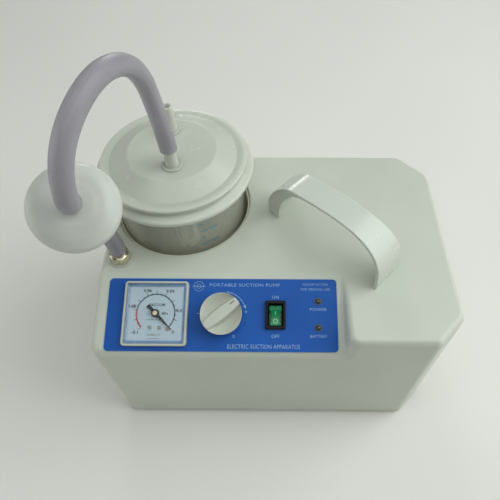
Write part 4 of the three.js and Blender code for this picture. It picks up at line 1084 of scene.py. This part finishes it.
def build_dial():
    face = pad("dial", GLASS_HALF - 0.2, GLASS_HALF - 0.2, 0.5, 2.3, DIAL_TOP, 0.1, GAUGE_PLACE)
    dress(face, DIAL, "housing", ["gauge_dial"])
    dark = []
    red = []
    danger = DIAL_START + DIAL_SWEEP * 0.8
    dark.append(arc_strip(DIAL_R - 0.42, DIAL_R + 0.42, DIAL_START, danger, DIAL_TOP, 80))
    red.append(arc_strip(DIAL_R - 0.5, DIAL_R + 0.5, danger, DIAL_START + DIAL_SWEEP, DIAL_TOP, 40))
    for k in range(21):
        angle = DIAL_START + DIAL_SWEEP * k / 20
        long = k % 2 == 0
        length = 2.3 if long else 1.1
        middle = DIAL_R + 0.2 + length / 2
        x, y = middle * math.cos(math.radians(angle)), middle * math.sin(math.radians(angle))
        tick = bar(length, 0.45 if long else 0.3, angle, x, y, DIAL_TOP + 0.01)
        (red if k >= 16 else dark).append(tick)
    labels = (("0", 0.0, 19.4), ("0.02", 0.019, 18.3), ("0.04", 0.0385, 19.2), ("0.06", 0.0585, 18.2),
              ("0.08", 0.0775, 18.6), ("-0.1", 0.1, 19.8))
    for text, value, r in labels:
        angle = math.radians(DIAL_START + DIAL_SWEEP * value / DIAL_FULL)
        dark.append(lettering(text, 3.2, r * math.cos(angle), r * math.sin(angle), DIAL_TOP, weight=0.09))
    dark.append(lettering("VACUUM", 2.9, 0.6, 6.2, DIAL_TOP, 12, weight=0.06))
    dark.append(lettering("MPa", 2.5, 6.9, -0.2, DIAL_TOP, 4.4, weight=0.06))
    dark.append(ring_mark(1.15, 1.35, -5.4, -0.2, DIAL_TOP))
    dark.append(bar(13, 0.3, 0, -0.2, -4.8, DIAL_TOP))
    dark.append(lettering("CLASS 2.5", 2.0, -0.6, -15.6, DIAL_TOP, 9.5))
    dark.append(bar(8.5, 0.28, 0, -0.4, -18.4, DIAL_TOP))
    print_marks("dial_print", dark, GAUGE_PLACE, PRINT_DARK, "housing")
    print_marks("dial_red", red, GAUGE_PLACE, PRINT_RED, "housing")


def build_dial_screws():
    screws = []
    for x, y, slot_angle in ((-3.6, -10.4, 40), (3.5, -10.5, -35), (9.3, -11.4, 10)):
        place = GAUGE_PLACE @ Matrix.Translation((x, y, 0))
        head = lathe("screw", [(0, DIAL_TOP), (1.5, DIAL_TOP), (1.5, DIAL_TOP + 0.5, 0.3), (1.1, DIAL_TOP + 0.75), (0, DIAL_TOP + 0.75)],
                     place, 32)
        turn = place @ Matrix.Rotation(math.radians(slot_angle), 4, "Z")
        groove = block("cut", (-1.6, -0.17, DIAL_TOP + 0.5), (1.6, 0.17, DIAL_TOP + 1.5), turn)
        screws.append(subtract(head, groove))
    dress(merge("dial_screws", screws), SCREW_DULL, "housing")


def build_window():
    """Moulded clear cover with a bevel all round, open at the back."""
    low = DIAL_TOP + 0.25
    outer = [square_ring(GLASS_HALF, 0.6, low), square_ring(GLASS_HALF, 0.6, 5.5), square_ring(GLASS_HALF - 0.15, 0.5, 5.7),
             square_ring(GLASS_HALF - 2.3, 0.4, 7.25), square_ring(GLASS_HALF - 2.6, 0.4, 7.35)]
    inner = [square_ring(GLASS_HALF - 1.1, 0.4, low), square_ring(GLASS_HALF - 1.1, 0.4, 5.1), square_ring(GLASS_HALF - 3.2, 0.3, 6.4)]
    parts = MeshParts()
    parts.add(*skin(outer, cap_start=False))
    parts.add(*skin(inner, cap_start=False))
    parts.strip([outer[0], inner[0]])
    window = parts.object("window", GAUGE_PLACE)
    dress(window, WINDOW, "housing", ["gauge_window"], angle=25)
    rim = plate("window_edge", [(x, y) for x, y, _ in square_ring(GLASS_HALF - 0.25, 0.5, 0)],
                [[(x, y) for x, y, _ in square_ring(GLASS_HALF - 2.1, 0.3, 0)]], DIAL_TOP + 0.02, DIAL_TOP + 0.16, GAUGE_PLACE)
    dress(rim, EDGE_BLUE, "housing")


def build_needle():
    """Pointer with a broad tail and a turned brass hub, at the zero mark."""
    z = 4.0
    turn = GAUGE_PLACE @ Matrix.Rotation(math.radians(-44), 4, "Z")
    outline = rounded([
        (-8.2, -1.45, 1.0), (-2, -1.1), (2, -1.3), (14.5, -0.34), (17.2, -0.45, 0.2), (17.2, 0.45, 0.2), (14.5, 0.34),
        (2, 1.3), (-2, 1.1), (-8.2, 1.45, 1.0),
    ], closed=True)
    blade = MeshParts()
    vertices, triangles = cap_faces([outline])
    for height in (z, z + 0.45):
        blade.add([(v.x, v.y, height) for v in vertices], triangles)
    blade.strip([[(x, y, z) for x, y in outline], [(x, y, z + 0.45) for x, y in outline]])
    pointer = blade.object("pointer", turn)
    hub = lathe("hub", [(0, z - 0.3), (3.0, z - 0.3), (3.0, z + 1.2, 0.5), (1.9, z + 1.35), (0, z + 1.35)], turn, 48)
    dress(merge("needle", [pointer, hub]), NEEDLE, "needle", ["gauge_needle"])
    boss = lathe("needle_boss", [(0, z + 1.3), (1.75, z + 1.3), (1.75, z + 1.75, 0.3), (0.5, z + 1.8), (0.42, z + 1.45), (0, z + 1.45)],
                 turn, 40)
    dress(boss, BRASS_PALE, "needle")


# ---------------------------------------------------------------- regulator knob
KNOB_R = 15.1
KNOB_LOW = 1.9
KNOB_HIGH = 14.0
GRIP_ANGLE = math.radians(39)
GRIP_MIDDLE = 4.1                    # half widths of the raised grip
GRIP_END = 2.75
SCOOP = 5.6                          # depth of the finger recesses beside the grip
GRIP_EDGE = 0.55


def knob_height(a, b, grip):
    """Top of the knob at a along the grip and b across it."""
    reach = math.sqrt(max(KNOB_R**2 - a * a, 0.0))
    beyond = abs(b) - grip
    z = KNOB_HIGH
    if beyond > 0 and reach > grip + 0.3:
        across = min(1.0, beyond / max(reach - grip, 1e-6))
        length = math.cos(min(1.0, abs(a) / KNOB_R) * math.pi / 2) ** 0.45
        floor = SCOOP * length * (1 - across**1.7) + 0.5
        wall = min(1.0, beyond / (0.5 + 0.16 * floor))
        z -= floor * wall * (2 - wall)
    rim = KNOB_R - math.hypot(a, b)
    if rim < 0.7:
        z -= 0.7 - math.sqrt(max(0.49 - (0.7 - max(rim, 0)) ** 2, 0))
    if beyond < 0:
        inset = GRIP_EDGE + beyond
        if inset > 0:
            z -= 0.35 * (inset / GRIP_EDGE) ** 2
    return z


def build_knob():
    columns = 96
    offsets = (0.12, 0.3, 0.55, 0.9, 1.4)
    rows = []
    for i in range(columns + 1):
        a = -KNOB_R * math.cos(math.pi * i / columns)
        reach = math.sqrt(max(KNOB_R**2 - a * a, 0.0))
        grip = GRIP_END + (GRIP_MIDDLE - GRIP_END) * (1 - (a / KNOB_R) ** 2)
        half = [0.0, grip * 0.5, grip - 0.5, grip - 0.3, grip - 0.12, grip]
        half += [grip + o for o in offsets]
        start = grip + offsets[-1]
        half += [start + (reach - start) * t if reach > start else reach for t in (0.15, 0.3, 0.45, 0.6, 0.72, 0.82, 0.9)]
        half += [max(reach - 0.6, 0), max(reach - 0.4, 0), max(reach - 0.22, 0), max(reach - 0.08, 0), reach]
        half = sorted(min(value, reach) for value in half)
        full = [-value for value in reversed(half[1:])] + half
        rows.append([(a, b, knob_height(a, b, grip)) for b in full])
    count = len(rows[0])
    parts = MeshParts()
    parts.add([p for row in rows for p in row], [
        (i * count + j, i * count + j + 1, (i + 1) * count + j + 1, (i + 1) * count + j)
        for i in range(columns) for j in range(count - 1)
    ])
    boundary = [row[-1] for row in rows] + [row[0] for row in rows[-2:0:-1]]
    def level(z, r):
        return [(x * r / KNOB_R, y * r / KNOB_R, z) for x, y, _ in boundary]
    lower = [level(KNOB_LOW + 0.7, KNOB_R - 0.8), level(KNOB_LOW + 0.2, KNOB_R - 0.95), level(KNOB_LOW, KNOB_R - 1.4),
             level(KNOB_LOW, KNOB_R - 2), level(KNOB_LOW + 3, KNOB_R - 2.2), level(KNOB_LOW + 3, 3.3), level(KNOB_HIGH - 4, 3.3)]
    parts.strip([boundary, *lower])
    base = len(parts.vertices)
    parts.vertices.extend(lower[-1])
    parts.faces.append(tuple(range(base, base + len(lower[-1]))))
    turn = KNOB_PLACE @ Matrix.Rotation(GRIP_ANGLE, 4, "Z")
    knob = parts.object("knob", turn)
    dress(knob, IVORY_SMOOTH, "knob", ["regulator_knob"], angle=50)
    # A dark block on the knob's top stands in for the pointer slot; its dark colour is painted shade in place of a
    # recess.
    mark = block("knob_slot_shade", (9.0, 0.75, KNOB_HIGH - 0.3), (13.0, 1.5, KNOB_HIGH + 0.04), turn)
    dress(mark, PAINTED_SLOT_SHADE, "knob")


# ---------------------------------------------------------------- switch and lamps
SWITCH_HALF = (7.5, 10.55)
SWITCH_PROUD = 3.3
OPENING = (5.0, 7.6)
ROCKER_TILT = math.radians(12)
ROCKER_PIVOT = -0.6


def build_switch():
    rings = []
    steps = 5
    def ring(half_x, half_y, corner, z):
        return [(x, y, z) for x, y in rounded_rectangle(half_x, half_y, corner, steps)]
    hx, hy = SWITCH_HALF
    ox, oy = OPENING
    rings += [ring(ox, oy, 0.5, -9), ring(6.3, 9.3, 0.5, -9), ring(6.3, 9.3, 0.5, OVERLAY_TOP + 0.1),
              ring(hx, hy, 1.1, OVERLAY_TOP + 0.1)]
    edge = 0.55
    for k in range(5):
        angle = math.pi / 2 * k / 4
        inset = edge * (1 - math.cos(angle))
        rings.append(ring(hx - inset, hy - inset, 1.1, SWITCH_PROUD - edge * (1 - math.sin(angle))))
    rings += [ring(ox + 0.9, oy + 0.9, 0.7, SWITCH_PROUD), ring(ox + 0.75, oy + 0.75, 0.65, SWITCH_PROUD - 0.1),
              ring(ox, oy, 0.5, SWITCH_PROUD - 1.4)]
    frame_piece = make_object("switch_bezel", *skin(rings, loop=True), SWITCH_PLACE)
    dress(frame_piece, BLACK, "housing", ["switch_frame"])
    floor = block("switch_floor", (-6.1, -9.1, -12), (6.1, 9.1, -9.2), SWITCH_PLACE)
    dress(floor, BLACK, "housing")


def rocker_block(name, stations, place):
    """Block along y: each station is (y, half width, top, bottom)."""
    rings = []
    for y, half, top, bottom in stations:
        edge = min(0.25, half * 0.3)
        rings.append([(-half, y, bottom), (half, y, bottom), (half, y, top - edge), (half - edge, y, top),
                      (-half + edge, y, top), (-half, y, top - edge)])
    return make_object(name, *skin(rings), place)


def rocker_top(y):
    """Height of the dished finger face."""
    return min(2.6 + 1.3 * ((y + 1.2) / 5.7) ** 2, 3.7)


def build_rocker():
    place = SWITCH_PLACE @ Matrix.Translation((0, 0, ROCKER_PIVOT)) @ Matrix.Rotation(ROCKER_TILT, 4, "X")
    core = rocker_block("rocker_core", [
        (-7.15, 4.6, 1.9, 0.2), (-6.5, 4.6, 2.5, -1.2), (-2, 4.6, 1.7, -4.2), (2, 4.6, 1.7, -4.2), (3.9, 4.6, 2.5, -3),
        (6.7, 4.6, 2.2, -1.2), (7.25, 4.6, 1.4, 0.2),
    ], place)
    dress(core, GREEN_DARK, "rocker", ["switch_rocker"], angle=20)
    face = []
    count = 24
    for k in range(count + 1):
        y = -7.1 + 11.2 * k / count
        middle = (y + 1.5) / 5.6
        half = 3.25 + 1.25 * abs(middle) ** 3.2
        face.append((y, min(half, 4.5), rocker_top(y), 1.0))
    dress(rocker_block("rocker_face", face, place), GREEN, "rocker", angle=30)
    band = rocker_block("rocker_band", [
        (4.1, 4.45, 3.3, 1.2), (4.6, 4.45, 3.15, 1.2), (6.6, 4.3, 2.75, 1.0), (7.1, 4.2, 2.2, 0.8),
    ], place)
    notch = make_object("cut", *skin([
        [(-1.1, 7.4, z), (0, 5.5, z), (1.1, 7.4, z)] for z in (0.5, 4)
    ]), place)
    dress(subtract(band, notch), GREEN_BAND, "rocker", angle=25)
    marks = [bar(2.5, 0.55, 90, 0, 2.0, 0.03), ring_mark(1.25, 1.75, 0, -3.9, 0.03)]
    for mark in marks:
        for vertex in mark.data.vertices:
            vertex.co.z += rocker_top(vertex.co.y)
    print_marks("rocker_marks", marks, place, PRINT_PALE, "rocker")


def build_lamps():
    for node, place in zip(("power_lamp", "battery_lamp"), LAMP_PLACES):
        rim = lathe(f"{node}_rim", [
            (2.0, OVERLAY_TOP - 0.1), (2.65, OVERLAY_TOP - 0.1), (2.65, OVERLAY_TOP + 0.3, 0.15), (2.1, OVERLAY_TOP + 0.55),
            (2.0, OVERLAY_TOP + 0.3),
        ], place, 40, closed=True)
        dress(rim, LAMP_RIM, "housing")
        dome = [(1.95, -8), (1.95, OVERLAY_TOP + 0.2)]
        dome += [(1.95 * math.cos(math.pi / 2 * k / 8), OVERLAY_TOP + 0.2 + 1.9 * math.sin(math.pi / 2 * k / 8)) for k in range(1, 9)]
        lens = lathe(f"{node}_lens", [(0, -8), *dome], place, 40)
        dress(lens, LENS, "housing", [node])


# ---------------------------------------------------------------- carry handle
HANDLE_FOOT = Vector((4.95, 16.25, TOP))
HANDLE_ALONG = Vector((0.71934, -0.69466, 0))
HANDLE_ACROSS = Vector((0.69466, 0.71934, 0))
HANDLE_WIDTH = 23.0
HANDLE_OUTER = [
    (-11, 0), (-12.6, 9), (-11, 18), (-6, 28), (2, 36.5), (9, 40.4), (22, 42.6), (38, 44.4), (55, 45.2),
    (70, 43.8), (82, 39.6), (91, 32.4), (96.6, 22), (98.6, 10), (99, 0),
]
HANDLE_INNER = [
    (0, 0), (0.2, 9), (1.4, 17), (4.5, 24.5), (9, 31), (14.5, 36.8), (24, 40), (39, 42), (55, 42.9),
    (69.6, 41.4), (80.6, 37.6), (89, 30.8), (94, 21), (95.8, 10), (96, 0),
]


def build_handle():
    """Broad strap: flat above, with a narrow rounding along each side."""
    outer = spline([Vector((u, h, 0)) for u, h in HANDLE_OUTER], 7)
    inner = spline([Vector((u, h, 0)) for u, h in HANDLE_INNER], 7)
    rings = []
    for k, (a, b) in enumerate(zip(outer, inner)):
        thick = (b - a).length
        start = -0.8 * max(0.0, 1 - k / (0.38 * len(outer)))
        end = HANDLE_WIDTH + max(0.0, (a.x - 62) / 40) ** 2 * 6
        outline = rounded_rectangle(thick / 2, (end - start) / 2, min(1.0, thick * 0.3), 4)
        ring = []
        for x, w in outline:
            p = a.lerp(b, (x + thick / 2) / thick)
            across = w + (start + end) / 2
            ring.append(HANDLE_FOOT + HANDLE_ALONG * p.x + HANDLE_ACROSS * across + Vector((0, 0, p.y + 0.1)))
        rings.append(ring)
    dress(make_object("handle", *skin(rings)), HANDLE_WHITE, "housing", ["carry_handle"], angle=40)


# ---------------------------------------------------------------- well, jar, lid and overflow valve
JAR_LOW, JAR_HIGH = node_box("collection_jar")
JAR_CENTRE = (JAR_LOW + JAR_HIGH) / 2
JAR_PLACE = Matrix.Translation((JAR_CENTRE.x, JAR_CENTRE.y, 0))
JAR_R = (JAR_HIGH.x - JAR_LOW.x) / 2
LID_LOW = node_box("jar_lid")[0].z
LID_DISC = LID_LOW + 19.1
CAGE_LOW_CORNER, CAGE_HIGH_CORNER = node_box("float_cage")
CAGE_CENTRE = (CAGE_LOW_CORNER + CAGE_HIGH_CORNER) / 2
CAGE_R = (CAGE_HIGH_CORNER.x - CAGE_LOW_CORNER.x) / 2
FRONT_RISE = 31.0
FRONT_BORE = 1.8
REAR_RISE = 23.5
REAR_BORE = 2.5
REAR_NOZZLE = Vector((-79.75, 55.15, 0))


def build_well():
    r = WELL_R
    z0, z1 = WELL_LOW.z, WELL_HIGH.z
    profile = [(0, z0), (r, z0, 2), (r, z1, 0.4), (r - 1.2, z1, 0.4), (r - 1.2, z0 + 2, 2), (0, z0 + 2)]
    cup = lathe("well", profile, Matrix.Translation((WELL_CENTRE.x, WELL_CENTRE.y, 0)), 160)
    dress(cup, WELL, "housing", ["jar_well"])


def build_jar():
    r = JAR_R
    z0, z1 = JAR_LOW.z, JAR_HIGH.z
    profile = [
        (0, z0 + 1.2), (38, z0 + 1.2, 1), (40, z0, 1), (r - 4.6, z0, 2), (r - 1.6, z0 + 3.5, 4), (r, LID_LOW - 18, 6),
        (r, z1, 0.8), (r - 2.2, z1, 0.8), (r - 2.2, LID_LOW - 18, 6), (r - 3.8, z0 + 5, 4), (r - 7, z0 + 3, 3), (0, z0 + 3.2),
    ]
    jar = lathe("jar", profile, JAR_PLACE, 160)
    dress(jar, CLEAR, "jar", ["collection_jar"])
    marks = []
    for k in range(14):
        z = 72 + k * 8.2
        width = math.radians(6 if k % 2 == 0 else 3.5)
        start = math.radians(-66)
        rise = (z - z0) / (LID_LOW - 18 - z0)
        radius = r - 1.5 * (1 - min(1.0, rise)) + 0.04
        arc = [start + width * i / 5 for i in range(6)]
        rings = []
        for angle in arc:
            c, s = math.cos(angle), math.sin(angle)
            rings.append([(q * c, q * s, z + dz) for q, dz in
                          ((radius, -0.45), (radius + 0.08, -0.45), (radius + 0.08, 0.45), (radius, 0.45))])
        marks.append(make_object("mark", *skin(rings), JAR_PLACE))
    for k in range(7):
        z = 72 + k * 16.4
        marks.append(curved_number(str(k * 100 + 200), z, r))
    dress(merge("jar_scale", marks), PRINT_BLUE, "jar")


def curved_number(text, z, r):
    """Scale number wrapped round the jar beside its mark."""
    source = lettering(text, 4.2, 0, 0, 0)
    place = JAR_PLACE
    start = math.radians(-54)
    rise = (z - JAR_LOW.z) / (LID_LOW - 18 - JAR_LOW.z)
    radius = r - 1.5 * (1 - min(1.0, rise)) + 0.04
    for vertex in source.data.vertices:
        x, y, depth = vertex.co
        angle = start + x / radius
        reach = radius + depth
        vertex.co = (place @ Vector((reach * math.cos(angle), reach * math.sin(angle), z + y))) * MM
    bpy.context.scene.collection.objects.link(source)
    weld(source)
    return source


def weld(obj):
    body = bmesh.new()
    body.from_mesh(obj.data)
    bmesh.ops.remove_doubles(body, verts=body.verts, dist=1e-7)
    bmesh.ops.recalc_face_normals(body, faces=body.faces)
    body.to_mesh(obj.data)
    body.free()


def lid_nozzle(place, base_r, tip_r, collar_r, rise, bore):
    z = LID_DISC
    profile = [
        (bore, z - 2.6), (collar_r - 1, z - 2.6), (collar_r, z - 0.4), (collar_r, z + 1.3, 0.7), (collar_r - 1.5, z + 1.3, 0.5),
        (base_r + 0.5, z + 0.7, 0.8), (base_r, z + 2.0, 1.2), (tip_r + 0.25, z + rise - 1.2, 0.5),
        (tip_r, z + rise, 0.35), (bore, z + rise, 0.3),
    ]
    return lathe("nozzle", profile, place, 64, closed=True)


def build_lid():
    z = LID_LOW
    seat = JAR_R + 0.5
    profile = [
        (0, z + 16.7), (34, z + 16.7, 1), (47, z + 9.6, 1), (seat, z + 9.4), (seat, z, 0.5), (60.9, z, 1.2), (60.9, z + 3.6, 1.6),
        (57.9, z + 4.7, 1.2), (55.0, z + 6.0, 1.8), (54.6, z + 8.5, 1.2), (56.1, z + 9.7, 0.7), (56.2, z + 12.0, 1.1),
        (53.0, z + 12.35, 2.0), (48.8, z + 11.9, 1.2), (34.6, z + 18.7, 1.6), (33.4, z + 19.1, 1.6), (0, z + 19.1),
    ]
    body = lathe("lid_body", profile, JAR_PLACE, 192)
    bores = []
    front = Matrix.Translation((CAGE_CENTRE.x, CAGE_CENTRE.y, 0))
    rear = Matrix.Translation(REAR_NOZZLE)
    for place, bore in ((front, FRONT_BORE), (rear, REAR_BORE)):
        bores.append(lathe("cut", [(0, z + 10), (bore, z + 10), (bore, z + 25), (0, z + 25)], place, 32))
    subtract(body, *bores)
    nozzles = [lid_nozzle(front, 4.8, 3.3, 7.8, FRONT_RISE, FRONT_BORE),
               lid_nozzle(rear, 4.9, 3.6, 6.6, REAR_RISE, REAR_BORE)]
    dress(merge("lid", [body, *nozzles]), WHITE, "lid", ["jar_lid"], angle=34)


def build_valve():
    """Slotted cage with its float."""
    place = Matrix.Translation((CAGE_CENTRE.x, CAGE_CENTRE.y, 0))
    low, high = CAGE_LOW_CORNER.z, CAGE_HIGH_CORNER.z
    r = CAGE_R
    tube = lathe("cage", [
        (5, low), (r, low, 0.8), (r, high, 0.5), (2.4, high), (2.4, high - 8), (r - 1.6, high - 12, 1), (r - 1.6, low + 2, 0.6),
        (5, low + 2),
    ], place, 96, closed=True)
    slots = []
    for k in range(3):
        turn = place @ Matrix.Rotation(math.radians(60 * k), 4, "Z")
        slots.append(block("cut", (-14, -2.6, low + 8), (14, 2.6, high - 30), turn))
    across = place @ Matrix.Rotation(math.radians(90), 4, "Z")
    slots.append(block("cut", (-14, -2.2, low - 1), (14, 2.2, low + 4), across))
    dress(subtract(tube, *slots), CAGE_WHITE, "lid", ["float_cage"])
    low, high = (corner.z for corner in node_box("valve_float"))
    profile = [(0, low), (6.2, low, 0.4), (7.2, low + 1, 0.5), (7.2, high - 4, 0.8), (3, high, 0.5), (0, high)]
    dress(lathe("float", profile, place, 64), WHITE, "float", ["valve_float"])


# ---------------------------------------------------------------- suction inlet on the top face
def build_inlet():
    place = Matrix.Translation((FITTING_CENTRE.x, FITTING_CENTRE.y, TOP))
    washer = lathe("washer", [(4.6, 0.1), (9.0, 0.1), (9.2, 0.9, 0.3), (8.6, 1.15, 0.3), (4.6, 1.15)], place, 64, closed=True)
    dress(washer, WHITE, "housing", ["inlet_washer"])
    low, top = 1.25, 8.5
    corner = 14 / math.sqrt(3)
    hexagon = [[(r * math.cos(TAU * k / 6), r * math.sin(TAU * k / 6), z) for k in range(6)] for r, z in ((corner, low), (corner, top))]
    nut = make_object("nut", *skin(hexagon), place)
    crown = lathe("crown", [(9.0, low - 1), (9.0, low - 1.01), (corner - 0.1, top - 1.1), (6.4, top + 0.05), (6.4, top + 3), (12, top + 3), (12, low - 1)],
                  place, 96, closed=True)
    subtract(nut, crown)
    stem = lathe("stem", [
        (2.2, -16), (4.2, -16), (4.2, low), (5.9, top - 0.3), (5.9, top + 0.9, 0.3), (3.9, top + 1.4), (4.6, top + 5.2, 0.3),
        (3.7, top + 10), (4.6, top + 10.3, 0.3), (3.6, top + 15), (4.4, top + 15.3, 0.3), (3.2, top + 20), (2.2, top + 20),
    ], place, 64, closed=True)
    dress(merge("inlet_connector", [nut, stem]), NICKEL, "housing", ["inlet_fitting"], angle=30)


build_overlay()
build_overlay_print()
build_bezel()
build_dial()
build_dial_screws()
build_window()
build_needle()
build_knob()
build_switch()
build_rocker()
build_lamps()
build_handle()
build_well()
build_jar()
build_lid()
build_valve()
build_inlet()


# ---------------------------------------------------------------- finish of the CAD pieces that stay
CAD_FINISH = {
    RUBBER: ["rubber_foot_1", "rubber_foot_2", "rubber_foot_3", "rubber_foot_4", "lid_seal"],
    STEEL: ["base_screw_1", "base_screw_2", "base_screw_3", "base_screw_4", "handle_screw_1", "handle_screw_2",
            "motor_can", "motor_shaft", "motor_bracket"],
    BLACK: ["gauge_case", "power_inlet", "fuse_holder", "cooling_fan"],
    BRASS: ["gauge_movement", "regulator_spindle", "inlet_nut"],
    ALUMINIUM: ["regulator_valve", "pump_crankcase", "pump_head", "connecting_rod"],
    RUBBER_SOFT: ["pump_diaphragm"],
    HOSE: ["suction_tube", "gauge_tube"],
    BATTERY: ["battery_pack"],
    BOARD: ["circuit_board"],
    IVORY_SMOOTH: ["well_support"],
    PAPER: ["filter_membrane"],
}


def finish_cad_pieces():
    for material, names in CAD_FINISH.items():
        for name in names:
            node = NODES[name]
            node.data.materials.clear()
            node.data.materials.append(material)
            bevel = node.modifiers.new("edge", "BEVEL")
            bevel.width = 0.25 * MM
            bevel.segments = 2
            bevel.limit_method = "ANGLE"
            bevel.angle_limit = math.radians(35)
            node.data.polygons.foreach_set("use_smooth", [True] * len(node.data.polygons))
            node.data.set_sharp_from_angle(angle=math.radians(35))


finish_cad_pieces()


# ---------------------------------------------------------------- room
def area_light(name, place, target, size_x, size_y, power, color=(1, 1, 1)):
    data = bpy.data.lights.new(name, "AREA")
    data.shape = "RECTANGLE"
    data.size = size_x
    data.size_y = size_y
    data.energy = power
    data.color = color
    light = bpy.data.objects.new(name, data)
    bpy.context.scene.collection.objects.link(light)
    light.location = place
    light.rotation_euler = (Vector(target) - Vector(place)).to_track_quat("-Z", "Y").to_euler()
    return light


def build_room():
    scene = bpy.context.scene
    scene.view_settings.view_transform = "Standard"
    world = bpy.data.worlds.new("room")
    world.use_nodes = True
    background = world.node_tree.nodes["Background"]
    background.inputs["Color"].default_value = (0.95, 0.97, 1.0, 1)
    background.inputs["Strength"].default_value = 0.05
    scene.world = world
    floor = surface("floor", (0.76, 0.75, 0.71), 0.8, mottle=0.01, mottle_mm=200, grain=0.0)
    side = 6000
    ground = block("ground", (-side, -side, -20), (side, side, 0))
    ground.data.materials.append(floor)
    cool = (0.95, 1.0, 0.98)
    area_light("key", (1.25, 0.15, 1.2), (0, 0, 0.1), 1.6, 1.2, 17, cool)
    area_light("front_ceiling", (0.15, -0.45, 1.8), (0, 0, 0.1), 2.4, 1.6, 15, cool)
    area_light("ceiling", (-0.2, 0.5, 1.8), (0, 0, 0.1), 1.4, 1.4, 4, cool)
    area_light("left_fill", (-1.3, -0.3, 0.4), (0, 0, 0.15), 1.2, 0.6, 4)
    area_light("right_fill", (1.35, -0.25, 0.35), (0, 0, 0.1), 1.0, 0.5, 3)
    area_light("small_window", (-0.3, 1.8, 0.75), (0, 0, 0.2), 0.5, 0.3, 5)


build_room()
